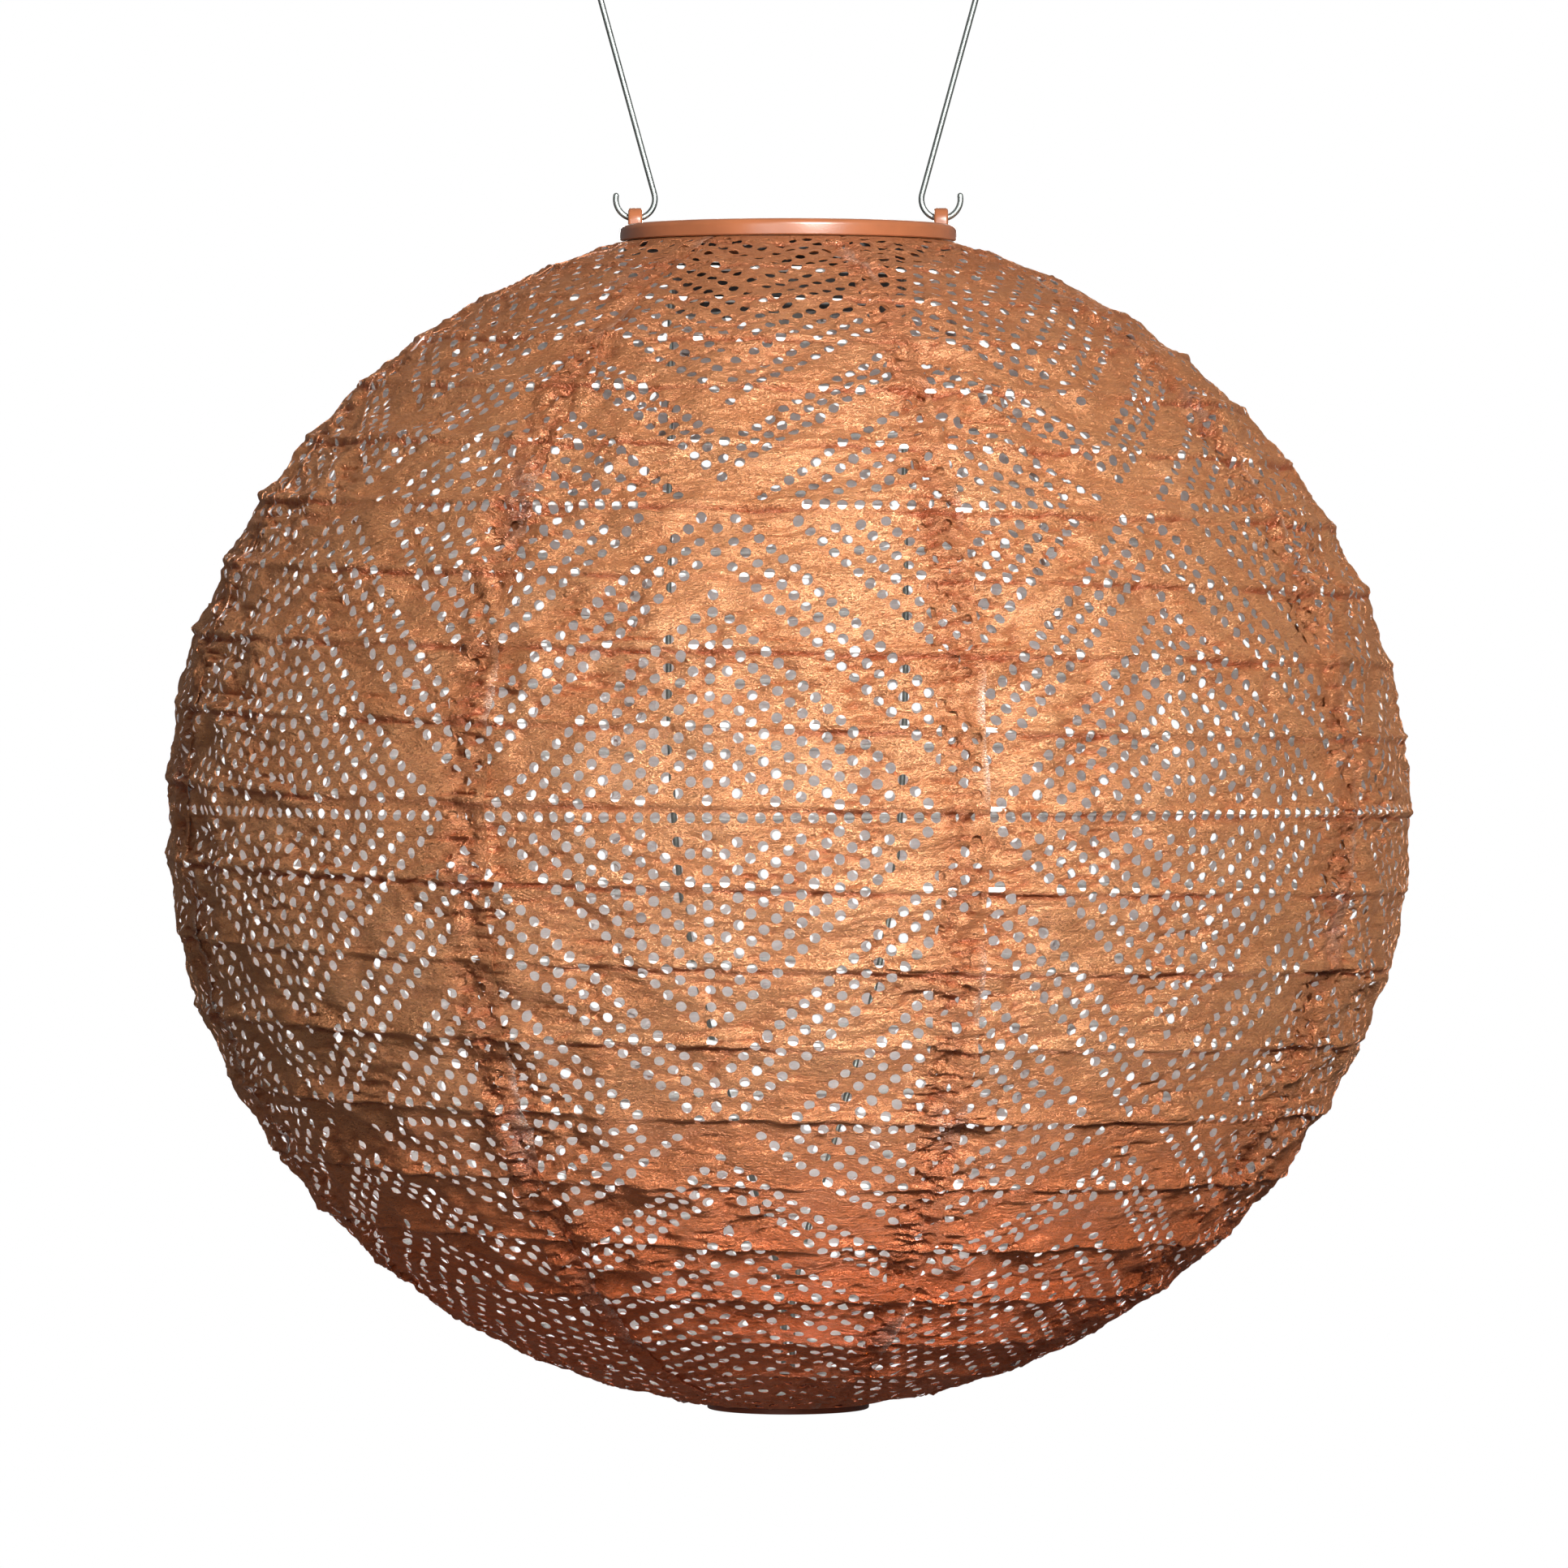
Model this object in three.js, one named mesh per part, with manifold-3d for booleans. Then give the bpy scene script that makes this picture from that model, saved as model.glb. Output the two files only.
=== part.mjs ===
// A hanging garden lantern: a globe shade of overlapping gores on one spiral wire rib, hung from a wire bail
// by a moulded neck ring, with a solar light module in the ring and a wire stretcher inside the globe.
// Millimetres, +Z up. The origin is the top of the bail's eye, where a hook holds the lantern.
import * as THREE from "three";
import { mergeVertices } from "three/addons/utils/BufferGeometryUtils.js";
import Module from "manifold-3d";

const wasm = await Module();
wasm.setup();

// ---------------------------------------------------------------- driving dimensions

const FIT_GAP = 0.3; // air between pieces that rest on or fit in each other
const SLIP_GAP = 0.4; // air round a piece that has to slide

const GLOBE_RADIUS = 210;
const GLOBE_UPPER = 199.5; // the ellipse's half height above the equator
const GLOBE_LOWER = 201.5; // and below it
const SHEET = 0.4; // the shade's sheet

const GORE_COUNT = 8;
const GORE_TURN = -7; // azimuth of the first gore's centre line, from the front towards +X, in degrees
const GORE_LAP = 4.4; // how much of the turn two neighbours overlap by
const GORE_STRIPS = 15; // straight strips from neck to base
const GORE_PANELS = 3; // and across it
const LAP_REST = 0.6; // how far past the upper sheet's edge the lower one stays down
const LAP_RISE = 2.2; // the turn over which it then rises to the skin

const COIL_WIRE = 1.8; // wire diameters
const BAIL_WIRE = 2.0;
const STRETCHER_WIRE = 2.0;

const COIL_LATITUDE = 1.8; // where the spiral crosses the front, in degrees of the ellipse's angle
const COIL_PITCH = 7.3; // degrees climbed in a turn at the equator
const COIL_CREEP = 0.024; // how much each turn up is closer than the one below it
const COIL_END_TOP = 4; // how far the spiral stops from the neck and from the base, in degrees
const COIL_END_BASE = 3.1;
const COIL_STEP = 15; // azimuth between the spiral's points

const RING_RADIUS = 56.8;
const RING_BAND = 5.5; // height of the band that shows
const RING_EDGE = 2.2; // its rounded upper edge
const RING_SPIGOT = 6; // how far the spigot goes down inside the neck
const SPIGOT_INSET = 4.6; // from the ring's outside in to the spigot's
const SPIGOT_WALL = 2.2;
const CHANNEL_WIDTH = 4; // the groove between the spigot and the bore's wall
const RING_PLATE = 2.4; // thickness of the ring's top
const BORE_WALL = 2; // of the seat that the module drops into
const SEAT_DEPTH = 6; // from the ring's top down to the seat
const SEAT_THICK = 2;
const CLAMP_HEIGHT = 3.2;

const EAR_INSET = 5.2; // from the ring's outside in to the ear's middle
const EAR_THICK = 4.8;
const EAR_WIDTH = 9;
const EAR_HEIGHT = 6;
const EAR_PLAY = 0.9; // round the bail's wire in the ear's hole
const PIVOT_HEIGHT = 2.4; // the wire's centre in the ear, above the ring's top
const PIVOT_PLAY = 0.1; // the wire hangs this much above the hole's centre

const HOOK_RADIUS = 6.6; // the bail's hooks, to the wire's centre
const HOOK_TAIL = 10; // the free end stops this far past level, in degrees
const LEG_LEAN = 15.4; // the legs' lean from upright
const LEG_TOP = 80; // where the arch starts, above the ring's top
const EYE_RADIUS = 7; // the eye at the bail's top, to the wire's centre
const EYE_FILLET = 6;
const EYE_RISE = 2; // how far the eye's centre stands above the fillets' meeting

const STRETCHER_TURN = 35; // the stretcher's plane, turned from the bail's
const SOCKET_BOSS = 3.4; // radius of the bosses that its legs plug into
const SOCKET_DEPTH = 7;
const HAIRPIN_GAP = 1.4; // between the two wires of the doubled foot
// The bow from its shoulders down: a share of the legs' radius, and of the globe's half height.
const BOW = [
  [1.008, 0.6],
  [1.016, 0.2],
  [0.93, -0.1],
  [0.71, -0.33],
  [0.395, -0.555],
  [0.138, -0.725],
];
const BOW_FOOT = -0.825; // where the legs meet

const HUB_OPENING = 28; // radius of the shade's hole at the base
const HUB_RIM_WALL = 5.4;
const HUB_LIP = 5.6; // how far the flange reaches past the rim
const HUB_FLANGE_THICK = 1.8;
const HUB_STAND = 1.9; // how far the rim stands below the sheet's edge
const HUB_BAR = 7; // width of the bar across the rim
const HUB_BAR_THICK = 4;
const HUB_BOSS = 5.6;
const HUB_BOSS_HEIGHT = 12;
const HUB_POCKET_DEPTH = 7;

const COVER_THICK = 2.7;
const COVER_DROP = 0.2; // the cover's top below the ring's top
const FLANGE_THICK = 1.6;
const CAN_INSET = 5.4; // from the seat's bore in to the can's outside
const CAN_WALL = 1.8;
const CAN_DEPTH = 30; // from the ring's top to the can's underside
const COVER_RIM_WALL = 1.5;
const COVER_RIM_DEPTH = 4;
const GASKET_WIDTH = 3.2;
const GASKET_INSET = 1; // from the cover's edge in to the gasket
const PANEL_SIDE = 54;
const PANEL_THICK = 1.1;
const LEAD_HOLE = 2.6;
const LEAD_HOLE_Y = -12;
const LEAD_WIRE = 1.2;

const CELL_RADIUS = 7.1; // an AA cell
const CELL_LENGTH = 48.4;
const CELL_NUB = 1.6;
const CELL_NUB_RADIUS = 2.7;
const CELL_Y = 15.5;
const SPRING_LENGTH = 3.6;
const SPRING_WIRE = 0.7;
const CONTACT_THICK = 0.5;
const CONTACT_HALF = 4.5;
const BAY_WALL = 1.5;
const BAY_HEIGHT = 13;
const DOOR_WIDTH = 15.8;
const DOOR_TAB = 8;
const DOOR_TAB_REACH = 5.6;
const TAB_THICK = 0.8;

const SCREW_SHANK = 1.1;
const SCREW_HEAD = 2.1;
const SCREW_HEAD_HEIGHT = 1.3;
const POST_RADIUS = 2.8;
const DOOR_POST_HEIGHT = 6;
const DOOR_SCREW_LENGTH = 6;
const BOARD_SCREW_LENGTH = 7;

const BOARD_LENGTH = 40;
const BOARD_WIDTH = 23;
const BOARD_THICK = 1.6;
const BOARD_Y = -15;
const BOARD_POST_X = 16;
const BOARD_HEIGHT = 10; // the board's underside above the can's floor
const DIODE_RADIUS = 2.5;
const DIODE_LENGTH = 8.6;
const DIFFUSER_RADIUS = 8;
const DIFFUSER_WALL = 1.2;
const DIFFUSER_DEPTH = 6;
const DIFFUSER_FLANGE = 10.4;

const SWITCH_X = 13;
const SWITCH_Y = 1;
const SWITCH_TRAVEL = 3;
const SWITCH_BODY = [10, 5, 4.7]; // length, width and height
const STEM = [1.5, 1]; // half length and half width of the slider's stem
const PAD = [3, 2]; // and of its pad
const PAD_THICK = 1.4;
const PAD_RIB = 0.8;

const ROUND = 36; // facets round a large turned piece
const SMALL_ROUND = 20;
const WIRE_SIDES = 8;
const COIL_SIDES = 5;

// ---------------------------------------------------------------- derived places

const rad = THREE.MathUtils.degToRad;
const deg = THREE.MathUtils.radToDeg;

/** A point of the globe's skin at an angle of its ellipse: radius, height and outward normal. */
function globeAt(angle) {
  const halfHeight = angle >= 0 ? GLOBE_UPPER : GLOBE_LOWER;
  const c = Math.cos(rad(angle));
  const s = Math.sin(rad(angle));
  const length = Math.hypot(c / GLOBE_RADIUS, s / halfHeight);
  return {
    radius: GLOBE_RADIUS * c,
    height: halfHeight * s,
    outward: [c / GLOBE_RADIUS / length, s / halfHeight / length],
  };
}

const SPIGOT_RADIUS = RING_RADIUS - SPIGOT_INSET;
const SPIGOT_INNER = SPIGOT_RADIUS - SPIGOT_WALL;
const BORE_RADIUS = SPIGOT_INNER - CHANNEL_WIDTH - BORE_WALL;
const SOCKET_RADIUS = SPIGOT_INNER - CHANNEL_WIDTH / 2; // where the stretcher's legs plug into the ring
const CAN_RADIUS = BORE_RADIUS - CAN_INSET;
const EAR_X = RING_RADIUS - EAR_INSET;
const EAR_HOLE = BAIL_WIRE / 2 + EAR_PLAY;
const HAIRPIN_HALF = (STRETCHER_WIRE + HAIRPIN_GAP) / 2;
const HUB_RIM = HUB_OPENING - 2 * FIT_GAP;
const HUB_BORE = HUB_RIM - HUB_RIM_WALL;
const HUB_FLANGE = HUB_RIM + HUB_LIP;

const NECK_RADIUS = RING_RADIUS - 2 * FIT_GAP; // the sheet's corner under the ring's band
const NECK_ANGLE = deg(Math.acos(NECK_RADIUS / GLOBE_RADIUS));
const BASE_ANGLE = -deg(Math.acos(HUB_OPENING / GLOBE_RADIUS));
const NECK_HEIGHT = globeAt(NECK_ANGLE).height;
const BASE_HEIGHT = globeAt(BASE_ANGLE).height;
const RING_BOTTOM = NECK_HEIGHT + FIT_GAP;
const RING_TOP = RING_BOTTOM + RING_BAND; // above the equator
const SPIGOT_BOTTOM = RING_BOTTOM - RING_SPIGOT;
const HUB_BOTTOM = BASE_HEIGHT - HUB_STAND;
const POCKET_FLOOR = HUB_BOTTOM + HUB_BOSS_HEIGHT - HUB_POCKET_DEPTH;
// The sheet's flat hem under the ring ends clear of the spigot, in the middle of its straight edges too.
const HEM_RADIUS = (SPIGOT_RADIUS + FIT_GAP) / Math.cos(rad(180 / GORE_COUNT / GORE_PANELS));
const LAYER = SHEET + FIT_GAP; // from one sheet to the next under it
const STRIP_SAG = GLOBE_RADIUS * (1 - Math.cos(rad((NECK_ANGLE - BASE_ANGLE) / GORE_STRIPS / 2)));
const LAP_SAG = GLOBE_RADIUS * (1 - Math.cos(rad(GORE_LAP / 2 + LAP_REST)));
const COIL_INSET = LAYER + SHEET + FIT_GAP + STRIP_SAG + LAP_SAG + COIL_WIRE / 2;

const ARCH = archOfBail();
const HANG_HEIGHT = RING_TOP + ARCH.eyeTop - BAIL_WIRE / 2; // of the eye's inner top above the equator

/** The bail's arch: the circle that continues both leaning legs, and the eye on top of it. */
function archOfBail() {
  const lean = rad(LEG_LEAN);
  const legFoot = {
    x: EAR_X - HOOK_RADIUS * Math.cos(lean),
    z: PIVOT_HEIGHT + HOOK_RADIUS + HOOK_RADIUS * Math.sin(lean),
  };
  const legHead = { x: legFoot.x + (LEG_TOP - legFoot.z) * Math.tan(lean), z: LEG_TOP };
  const radius = legHead.x / Math.cos(lean);
  const centre = legHead.z + radius * Math.sin(lean);
  const outer = radius + EYE_FILLET;
  const inner = EYE_RADIUS + EYE_FILLET;
  const eyeOffset = outer + EYE_RISE;
  const filletZ = (outer * outer - inner * inner + eyeOffset * eyeOffset) / (2 * eyeOffset);
  const filletX = Math.sqrt(outer * outer - filletZ * filletZ);
  return {
    radius,
    centre,
    filletX,
    filletZ: centre + filletZ,
    eyeCentre: centre + eyeOffset,
    eyeTop: centre + eyeOffset + EYE_RADIUS,
    filletTurn: Math.atan2(filletZ, filletX),
    eyeTurn: Math.atan2(filletZ - eyeOffset, filletX),
  };
}

// ---------------------------------------------------------------- solids from geometry

/** Keeps positions only, merges shared corners, drops slivers and turns the faces outwards. */
function closed(geometry) {
  geometry.deleteAttribute("normal");
  geometry.deleteAttribute("uv");
  const merged = mergeVertices(geometry, 1e-4);
  const place = merged.attributes.position;
  const order = merged.index.array;
  const corner = [new THREE.Vector3(), new THREE.Vector3(), new THREE.Vector3()];
  const kept = [];
  let volume = 0;
  for (let i = 0; i < order.length; i += 3) {
    const [a, b, c] = [order[i], order[i + 1], order[i + 2]];
    if (a === b || b === c || c === a) {
      continue;
    }
    kept.push(a, b, c);
    [a, b, c].forEach((vertex, k) => corner[k].fromBufferAttribute(place, vertex));
    volume += corner[0].dot(corner[1].clone().cross(corner[2])) / 6;
  }
  if (volume < 0) {
    for (let i = 0; i < kept.length; i += 3) {
      [kept[i], kept[i + 1]] = [kept[i + 1], kept[i]];
    }
  }
  merged.setIndex(kept);
  return merged;
}

function toManifold(geometry) {
  const shape = closed(geometry);
  return new wasm.Manifold(
    new wasm.Mesh({
      numProp: 3,
      vertProperties: new Float32Array(shape.attributes.position.array),
      triVerts: new Uint32Array(shape.index.array),
    }),
  );
}

function toGeometry(manifold) {
  const mesh = manifold.getMesh();
  const geometry = new THREE.BufferGeometry();
  geometry.setAttribute("position", new THREE.BufferAttribute(new Float32Array(mesh.vertProperties), 3));
  geometry.setIndex(Array.from(mesh.triVerts));
  return geometry;
}

/** One solid of all the added geometries, less all the removed ones. */
function carve(added, removed = []) {
  let solid = toManifold(added[0]);
  for (const piece of added.slice(1)) {
    solid = solid.add(toManifold(piece));
  }
  for (const tool of removed) {
    solid = solid.subtract(toManifold(tool));
  }
  return toGeometry(solid);
}

/** A profile of [radius, height] points turned about the Z axis. */
function turned(profile, facets = ROUND) {
  const points = profile.map(([radius, height]) => new THREE.Vector2(radius, height));
  return new THREE.LatheGeometry(points, facets).rotateX(Math.PI / 2);
}

/** A closed ring-shaped profile turned about the Z axis. */
function turnedRing(profile, facets = ROUND) {
  return turned([...profile, profile[0]], facets);
}

function block(low, high) {
  const size = high.map((value, axis) => value - low[axis]);
  const middle = high.map((value, axis) => (value + low[axis]) / 2);
  return new THREE.BoxGeometry(...size).translate(...middle);
}

/** An upright cylinder from one height to another. */
function rod(radius, low, high, x = 0, y = 0, facets = SMALL_ROUND) {
  return turned([[0, low], [radius, low], [radius, high], [0, high]], facets).translate(x, y, 0);
}

/** A wire's centre line through points that lie closer together on its bends. */
class WireLine extends THREE.Curve {
  constructor(points) {
    super();
    this.points = points;
  }

  getPoint(t, target = new THREE.Vector3()) {
    const place = t * (this.points.length - 1);
    const before = Math.min(Math.floor(place), this.points.length - 2);
    return target.lerpVectors(this.points[before], this.points[before + 1], place - before);
  }

  getTangent(t, target = new THREE.Vector3()) {
    const last = this.points.length - 1;
    const at = Math.round(t * last);
    const arriving = this.points[Math.max(at, 1)].clone().sub(this.points[Math.max(at, 1) - 1]).normalize();
    const leaving = this.points[Math.min(at, last - 1) + 1].clone().sub(this.points[Math.min(at, last - 1)]);
    return target.copy(arriving).add(leaving.normalize()).normalize();
  }

  getUtoTmapping(u) {
    return u;
  }
}

/** A wire of one diameter along a centre line's points. */
function wire(points, diameter, sides = WIRE_SIDES) {
  const corners = Array.from({ length: sides }, (_, i) => {
    const angle = (2 * Math.PI * i) / sides;
    return new THREE.Vector2(Math.cos(angle), Math.sin(angle)).multiplyScalar(diameter / 2);
  });
  return new THREE.ExtrudeGeometry(new THREE.Shape(corners), {
    steps: points.length - 1,
    extrudePath: new WireLine(points),
    bevelEnabled: false,
  });
}

/** Points of an arc in the XZ plane, both ends included. Angles are in radians from +X towards +Z. */
function arc(x, z, radius, from, to, steps) {
  return Array.from({ length: steps + 1 }, (_, i) => {
    const angle = from + ((to - from) * i) / steps;
    return new THREE.Vector3(x + radius * Math.cos(angle), 0, z + radius * Math.sin(angle));
  });
}

/** The closed solid between two grids of points of the same size, the first one facing outwards. */
function sheetBetween(outer, inner) {
  const rows = outer.length;
  const columns = outer[0].length;
  const points = [...outer.flat(), ...inner.flat()];
  const index = [];
  const at = (side, i, j) => side * rows * columns + i * columns + j;
  const quad = (a, b, c, d) => index.push(a, b, c, a, c, d);
  for (let i = 0; i < rows - 1; i++) {
    for (let j = 0; j < columns - 1; j++) {
      quad(at(0, i, j), at(0, i + 1, j), at(0, i + 1, j + 1), at(0, i, j + 1));
      quad(at(1, i, j), at(1, i, j + 1), at(1, i + 1, j + 1), at(1, i + 1, j));
    }
    quad(at(0, i, 0), at(1, i, 0), at(1, i + 1, 0), at(0, i + 1, 0));
    quad(at(0, i, columns - 1), at(0, i + 1, columns - 1), at(1, i + 1, columns - 1), at(1, i, columns - 1));
  }
  for (let j = 0; j < columns - 1; j++) {
    quad(at(0, 0, j), at(0, 0, j + 1), at(1, 0, j + 1), at(1, 0, j));
    quad(at(0, rows - 1, j), at(1, rows - 1, j), at(1, rows - 1, j + 1), at(0, rows - 1, j + 1));
  }
  const geometry = new THREE.BufferGeometry().setFromPoints(points);
  geometry.setIndex(index);
  return geometry;
}

// ---------------------------------------------------------------- materials

function finish(color, roughness, metalness = 0) {
  return new THREE.MeshStandardMaterial({ color, roughness, metalness });
}

const copperSheet = finish(0xb9764a, 0.45, 0.6);
const whiteWire = finish(0xe6e6e2, 0.5);
const galvanised = finish(0x9aa19c, 0.4, 0.9);
const brownPlastic = finish(0xb0603e, 0.42);
const blackPlastic = finish(0x17181a, 0.5);
const solarGlass = finish(0x101c33, 0.15, 0.2);
const rubber = finish(0x222222, 0.8);
const boardGreen = finish(0x1f5a35, 0.5);
const clearLens = finish(0xf2ead6, 0.2);
const frosted = finish(0xf4f2ea, 0.6);
const cellWrap = finish(0x2f7d4a, 0.4);
const spring = finish(0xc9c9c6, 0.3, 1);
const leadRed = finish(0xb3241c, 0.5);
const leadBlack = finish(0x141414, 0.5);

const lantern = new THREE.Group(); // its origin is the globe's centre
const lightModule = new THREE.Group(); // its origin is the ring's top, on the axis
const root = new THREE.Group();
lantern.position.z = -HANG_HEIGHT;
lightModule.position.z = RING_TOP;
lantern.add(lightModule);
root.add(lantern);

function add(group, name, geometry, material) {
  const mesh = new THREE.Mesh(closed(geometry), material);
  mesh.name = name;
  group.add(mesh);
  return mesh;
}

// ---------------------------------------------------------------- the shade

/** A place on the globe. Azimuth turns from the front, which is -Y, towards +X. */
function around(radius, azimuth, height) {
  return new THREE.Vector3(radius * Math.sin(rad(azimuth)), -radius * Math.cos(rad(azimuth)), height);
}

/** The shade's stations from the hem's edge down to the base: a point of the skin and its outward normal. */
function shadeStations() {
  const hem = { radius: HEM_RADIUS, height: NECK_HEIGHT, outward: [0, 1] };
  const corner = { radius: NECK_RADIUS, height: NECK_HEIGHT, outward: [0, 1] };
  const stations = [hem, corner];
  for (let i = 1; i <= GORE_STRIPS; i++) {
    stations.push(globeAt(NECK_ANGLE + ((BASE_ANGLE - NECK_ANGLE) * i) / GORE_STRIPS));
  }
  return stations;
}

/** One gore. Its left margin lies a layer down, under its neighbour's right margin. */
function gore(index) {
  const pitch = 360 / GORE_COUNT;
  const seam = GORE_TURN + (index - 0.5) * pitch;
  const down = GORE_LAP / 2 + LAP_REST;
  const columns = [
    [seam - GORE_LAP / 2, LAYER],
    [seam + down, LAYER],
    [seam + down + LAP_RISE, 0],
    [seam + pitch / GORE_PANELS, 0],
    [seam + pitch - pitch / GORE_PANELS, 0],
    [seam + pitch - GORE_LAP / 2, 0],
    [seam + pitch + GORE_LAP / 2, 0],
  ];
  const grid = (extra) =>
    shadeStations().map(({ radius, height, outward }) =>
      columns.map(([azimuth, depth]) =>
        around(radius - outward[0] * (depth + extra), azimuth, height - outward[1] * (depth + extra)),
      ),
    );
  return sheetBetween(grid(0), grid(SHEET));
}

/** The ellipse's angle that the spiral has reached after a number of turns up from the front crossing. */
function coilAngle(turns) {
  return COIL_LATITUDE + COIL_PITCH * turns - COIL_CREEP * turns * turns;
}

/** The spiral rib, which climbs from right to left across the front, with a point on every seam. */
function ribCoil() {
  const pitch = 360 / GORE_COUNT;
  const firstSeam = GORE_TURN + 0.5 * pitch;
  const offset = firstSeam % COIL_STEP;
  const points = [];
  const stepsPerTurn = 360 / COIL_STEP;
  const most = Math.ceil((90 / COIL_PITCH + 2) * stepsPerTurn);
  for (let step = -most; step <= most; step++) {
    const azimuth = offset - step * COIL_STEP;
    const angle = coilAngle(-azimuth / 360);
    if (angle > BASE_ANGLE + COIL_END_BASE && angle < NECK_ANGLE - COIL_END_TOP) {
      const { radius, height, outward } = globeAt(angle);
      points.push(around(radius - outward[0] * COIL_INSET, azimuth, height - outward[1] * COIL_INSET));
    }
  }
  return wire(points, COIL_WIRE, COIL_SIDES);
}

function buildShade() {
  for (let index = 0; index < GORE_COUNT; index++) {
    add(lantern, `shade_gore_${index + 1}`, gore(index), copperSheet);
  }
  add(lantern, "rib_coil", ribCoil(), whiteWire);
}

// ---------------------------------------------------------------- the neck

function stretcherPlace(radius) {
  return [radius * Math.cos(rad(STRETCHER_TURN)), radius * Math.sin(rad(STRETCHER_TURN))];
}

/** An ear of the ring: an upright lug that the bail's hook passes through along X. */
function ear(side) {
  const outline = new THREE.Shape();
  const half = EAR_WIDTH / 2;
  const shoulder = EAR_HEIGHT - half;
  outline.moveTo(-half, -RING_PLATE / 2);
  outline.lineTo(half, -RING_PLATE / 2);
  outline.lineTo(half, shoulder);
  outline.absarc(0, shoulder, half, 0, Math.PI);
  outline.closePath();
  const lug = new THREE.ExtrudeGeometry(outline, { depth: EAR_THICK, curveSegments: 8, bevelEnabled: false });
  const upright = new THREE.Matrix4().makeBasis(
    new THREE.Vector3(0, 1, 0),
    new THREE.Vector3(0, 0, 1),
    new THREE.Vector3(1, 0, 0),
  );
  return lug.applyMatrix4(upright).translate(side * EAR_X - EAR_THICK / 2, 0, RING_TOP);
}

function earHole(side) {
  const bore = new THREE.CylinderGeometry(EAR_HOLE, EAR_HOLE, EAR_THICK * 2, SMALL_ROUND);
  const height = RING_TOP + PIVOT_HEIGHT - PIVOT_PLAY;
  return bore.rotateZ(Math.PI / 2).translate(side * EAR_X, 0, height);
}

function neckRing() {
  const edge = Array.from({ length: 5 }, (_, i) => {
    const angle = (i / 4) * (Math.PI / 2);
    return [
      RING_RADIUS - RING_EDGE * (1 - Math.cos(angle)),
      RING_TOP - RING_EDGE * (1 - Math.sin(angle)),
    ];
  });
  const seat = RING_TOP - SEAT_DEPTH;
  const channelTop = RING_TOP - RING_PLATE;
  const seatBore = CAN_RADIUS + 2 * FIT_GAP;
  const body = turnedRing([
    [RING_RADIUS, RING_BOTTOM],
    ...edge,
    [BORE_RADIUS + FIT_GAP, RING_TOP],
    [BORE_RADIUS, RING_TOP - FIT_GAP],
    [BORE_RADIUS, seat],
    [seatBore, seat],
    [seatBore, seat - SEAT_THICK],
    [BORE_RADIUS + BORE_WALL, seat - SEAT_THICK],
    [BORE_RADIUS + BORE_WALL, channelTop],
    [SPIGOT_INNER, channelTop],
    [SPIGOT_INNER, SPIGOT_BOTTOM],
    [SPIGOT_RADIUS, SPIGOT_BOTTOM],
    [SPIGOT_RADIUS, RING_BOTTOM],
  ]);
  const added = [body, ear(1), ear(-1)];
  const removed = [earHole(1), earHole(-1)];
  for (const side of [1, -1]) {
    const [x, y] = stretcherPlace(side * SOCKET_RADIUS);
    const hole = STRETCHER_WIRE / 2 + FIT_GAP;
    added.push(rod(SOCKET_BOSS, SPIGOT_BOTTOM, channelTop + RING_PLATE / 2, x, y));
    removed.push(rod(hole, SPIGOT_BOTTOM - 1, SPIGOT_BOTTOM + SOCKET_DEPTH, x, y, WIRE_SIDES));
  }
  return carve(added, removed);
}

function clampRing() {
  const top = RING_BOTTOM - FIT_GAP - LAYER - SHEET - FIT_GAP;
  const inner = SPIGOT_RADIUS + FIT_GAP;
  const outer = NECK_RADIUS - 2 * FIT_GAP;
  return turnedRing([
    [inner, top - CLAMP_HEIGHT],
    [outer, top - CLAMP_HEIGHT],
    [outer, top],
    [inner, top],
  ]);
}

// ---------------------------------------------------------------- the bail

/** Half of the bail from a hook's free end up to the eye's top, on the +X side, above the ring's top. */
function bailHalf() {
  const lean = rad(LEG_LEAN);
  const hook = arc(EAR_X, PIVOT_HEIGHT + HOOK_RADIUS, HOOK_RADIUS, rad(HOOK_TAIL), -Math.PI - lean, 14);
  const arch = arc(0, ARCH.centre, ARCH.radius, -lean, ARCH.filletTurn, 14);
  const fillet = arc(
    ARCH.filletX,
    ARCH.filletZ,
    EYE_FILLET,
    ARCH.filletTurn + Math.PI,
    ARCH.eyeTurn + Math.PI,
    4,
  );
  fillet.shift();
  const eye = arc(0, ARCH.eyeCentre, EYE_RADIUS, ARCH.eyeTurn, Math.PI / 2, 7);
  eye.shift();
  return [...hook, ...arch, ...fillet, ...eye];
}

function bail() {
  const half = bailHalf();
  const mirrored = half.slice(0, -1).map((point) => new THREE.Vector3(-point.x, 0, point.z));
  const points = [...half, ...mirrored.reverse()];
  return wire(points, BAIL_WIRE).translate(0, 0, RING_TOP);
}

// ---------------------------------------------------------------- the stretcher and the base

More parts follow.
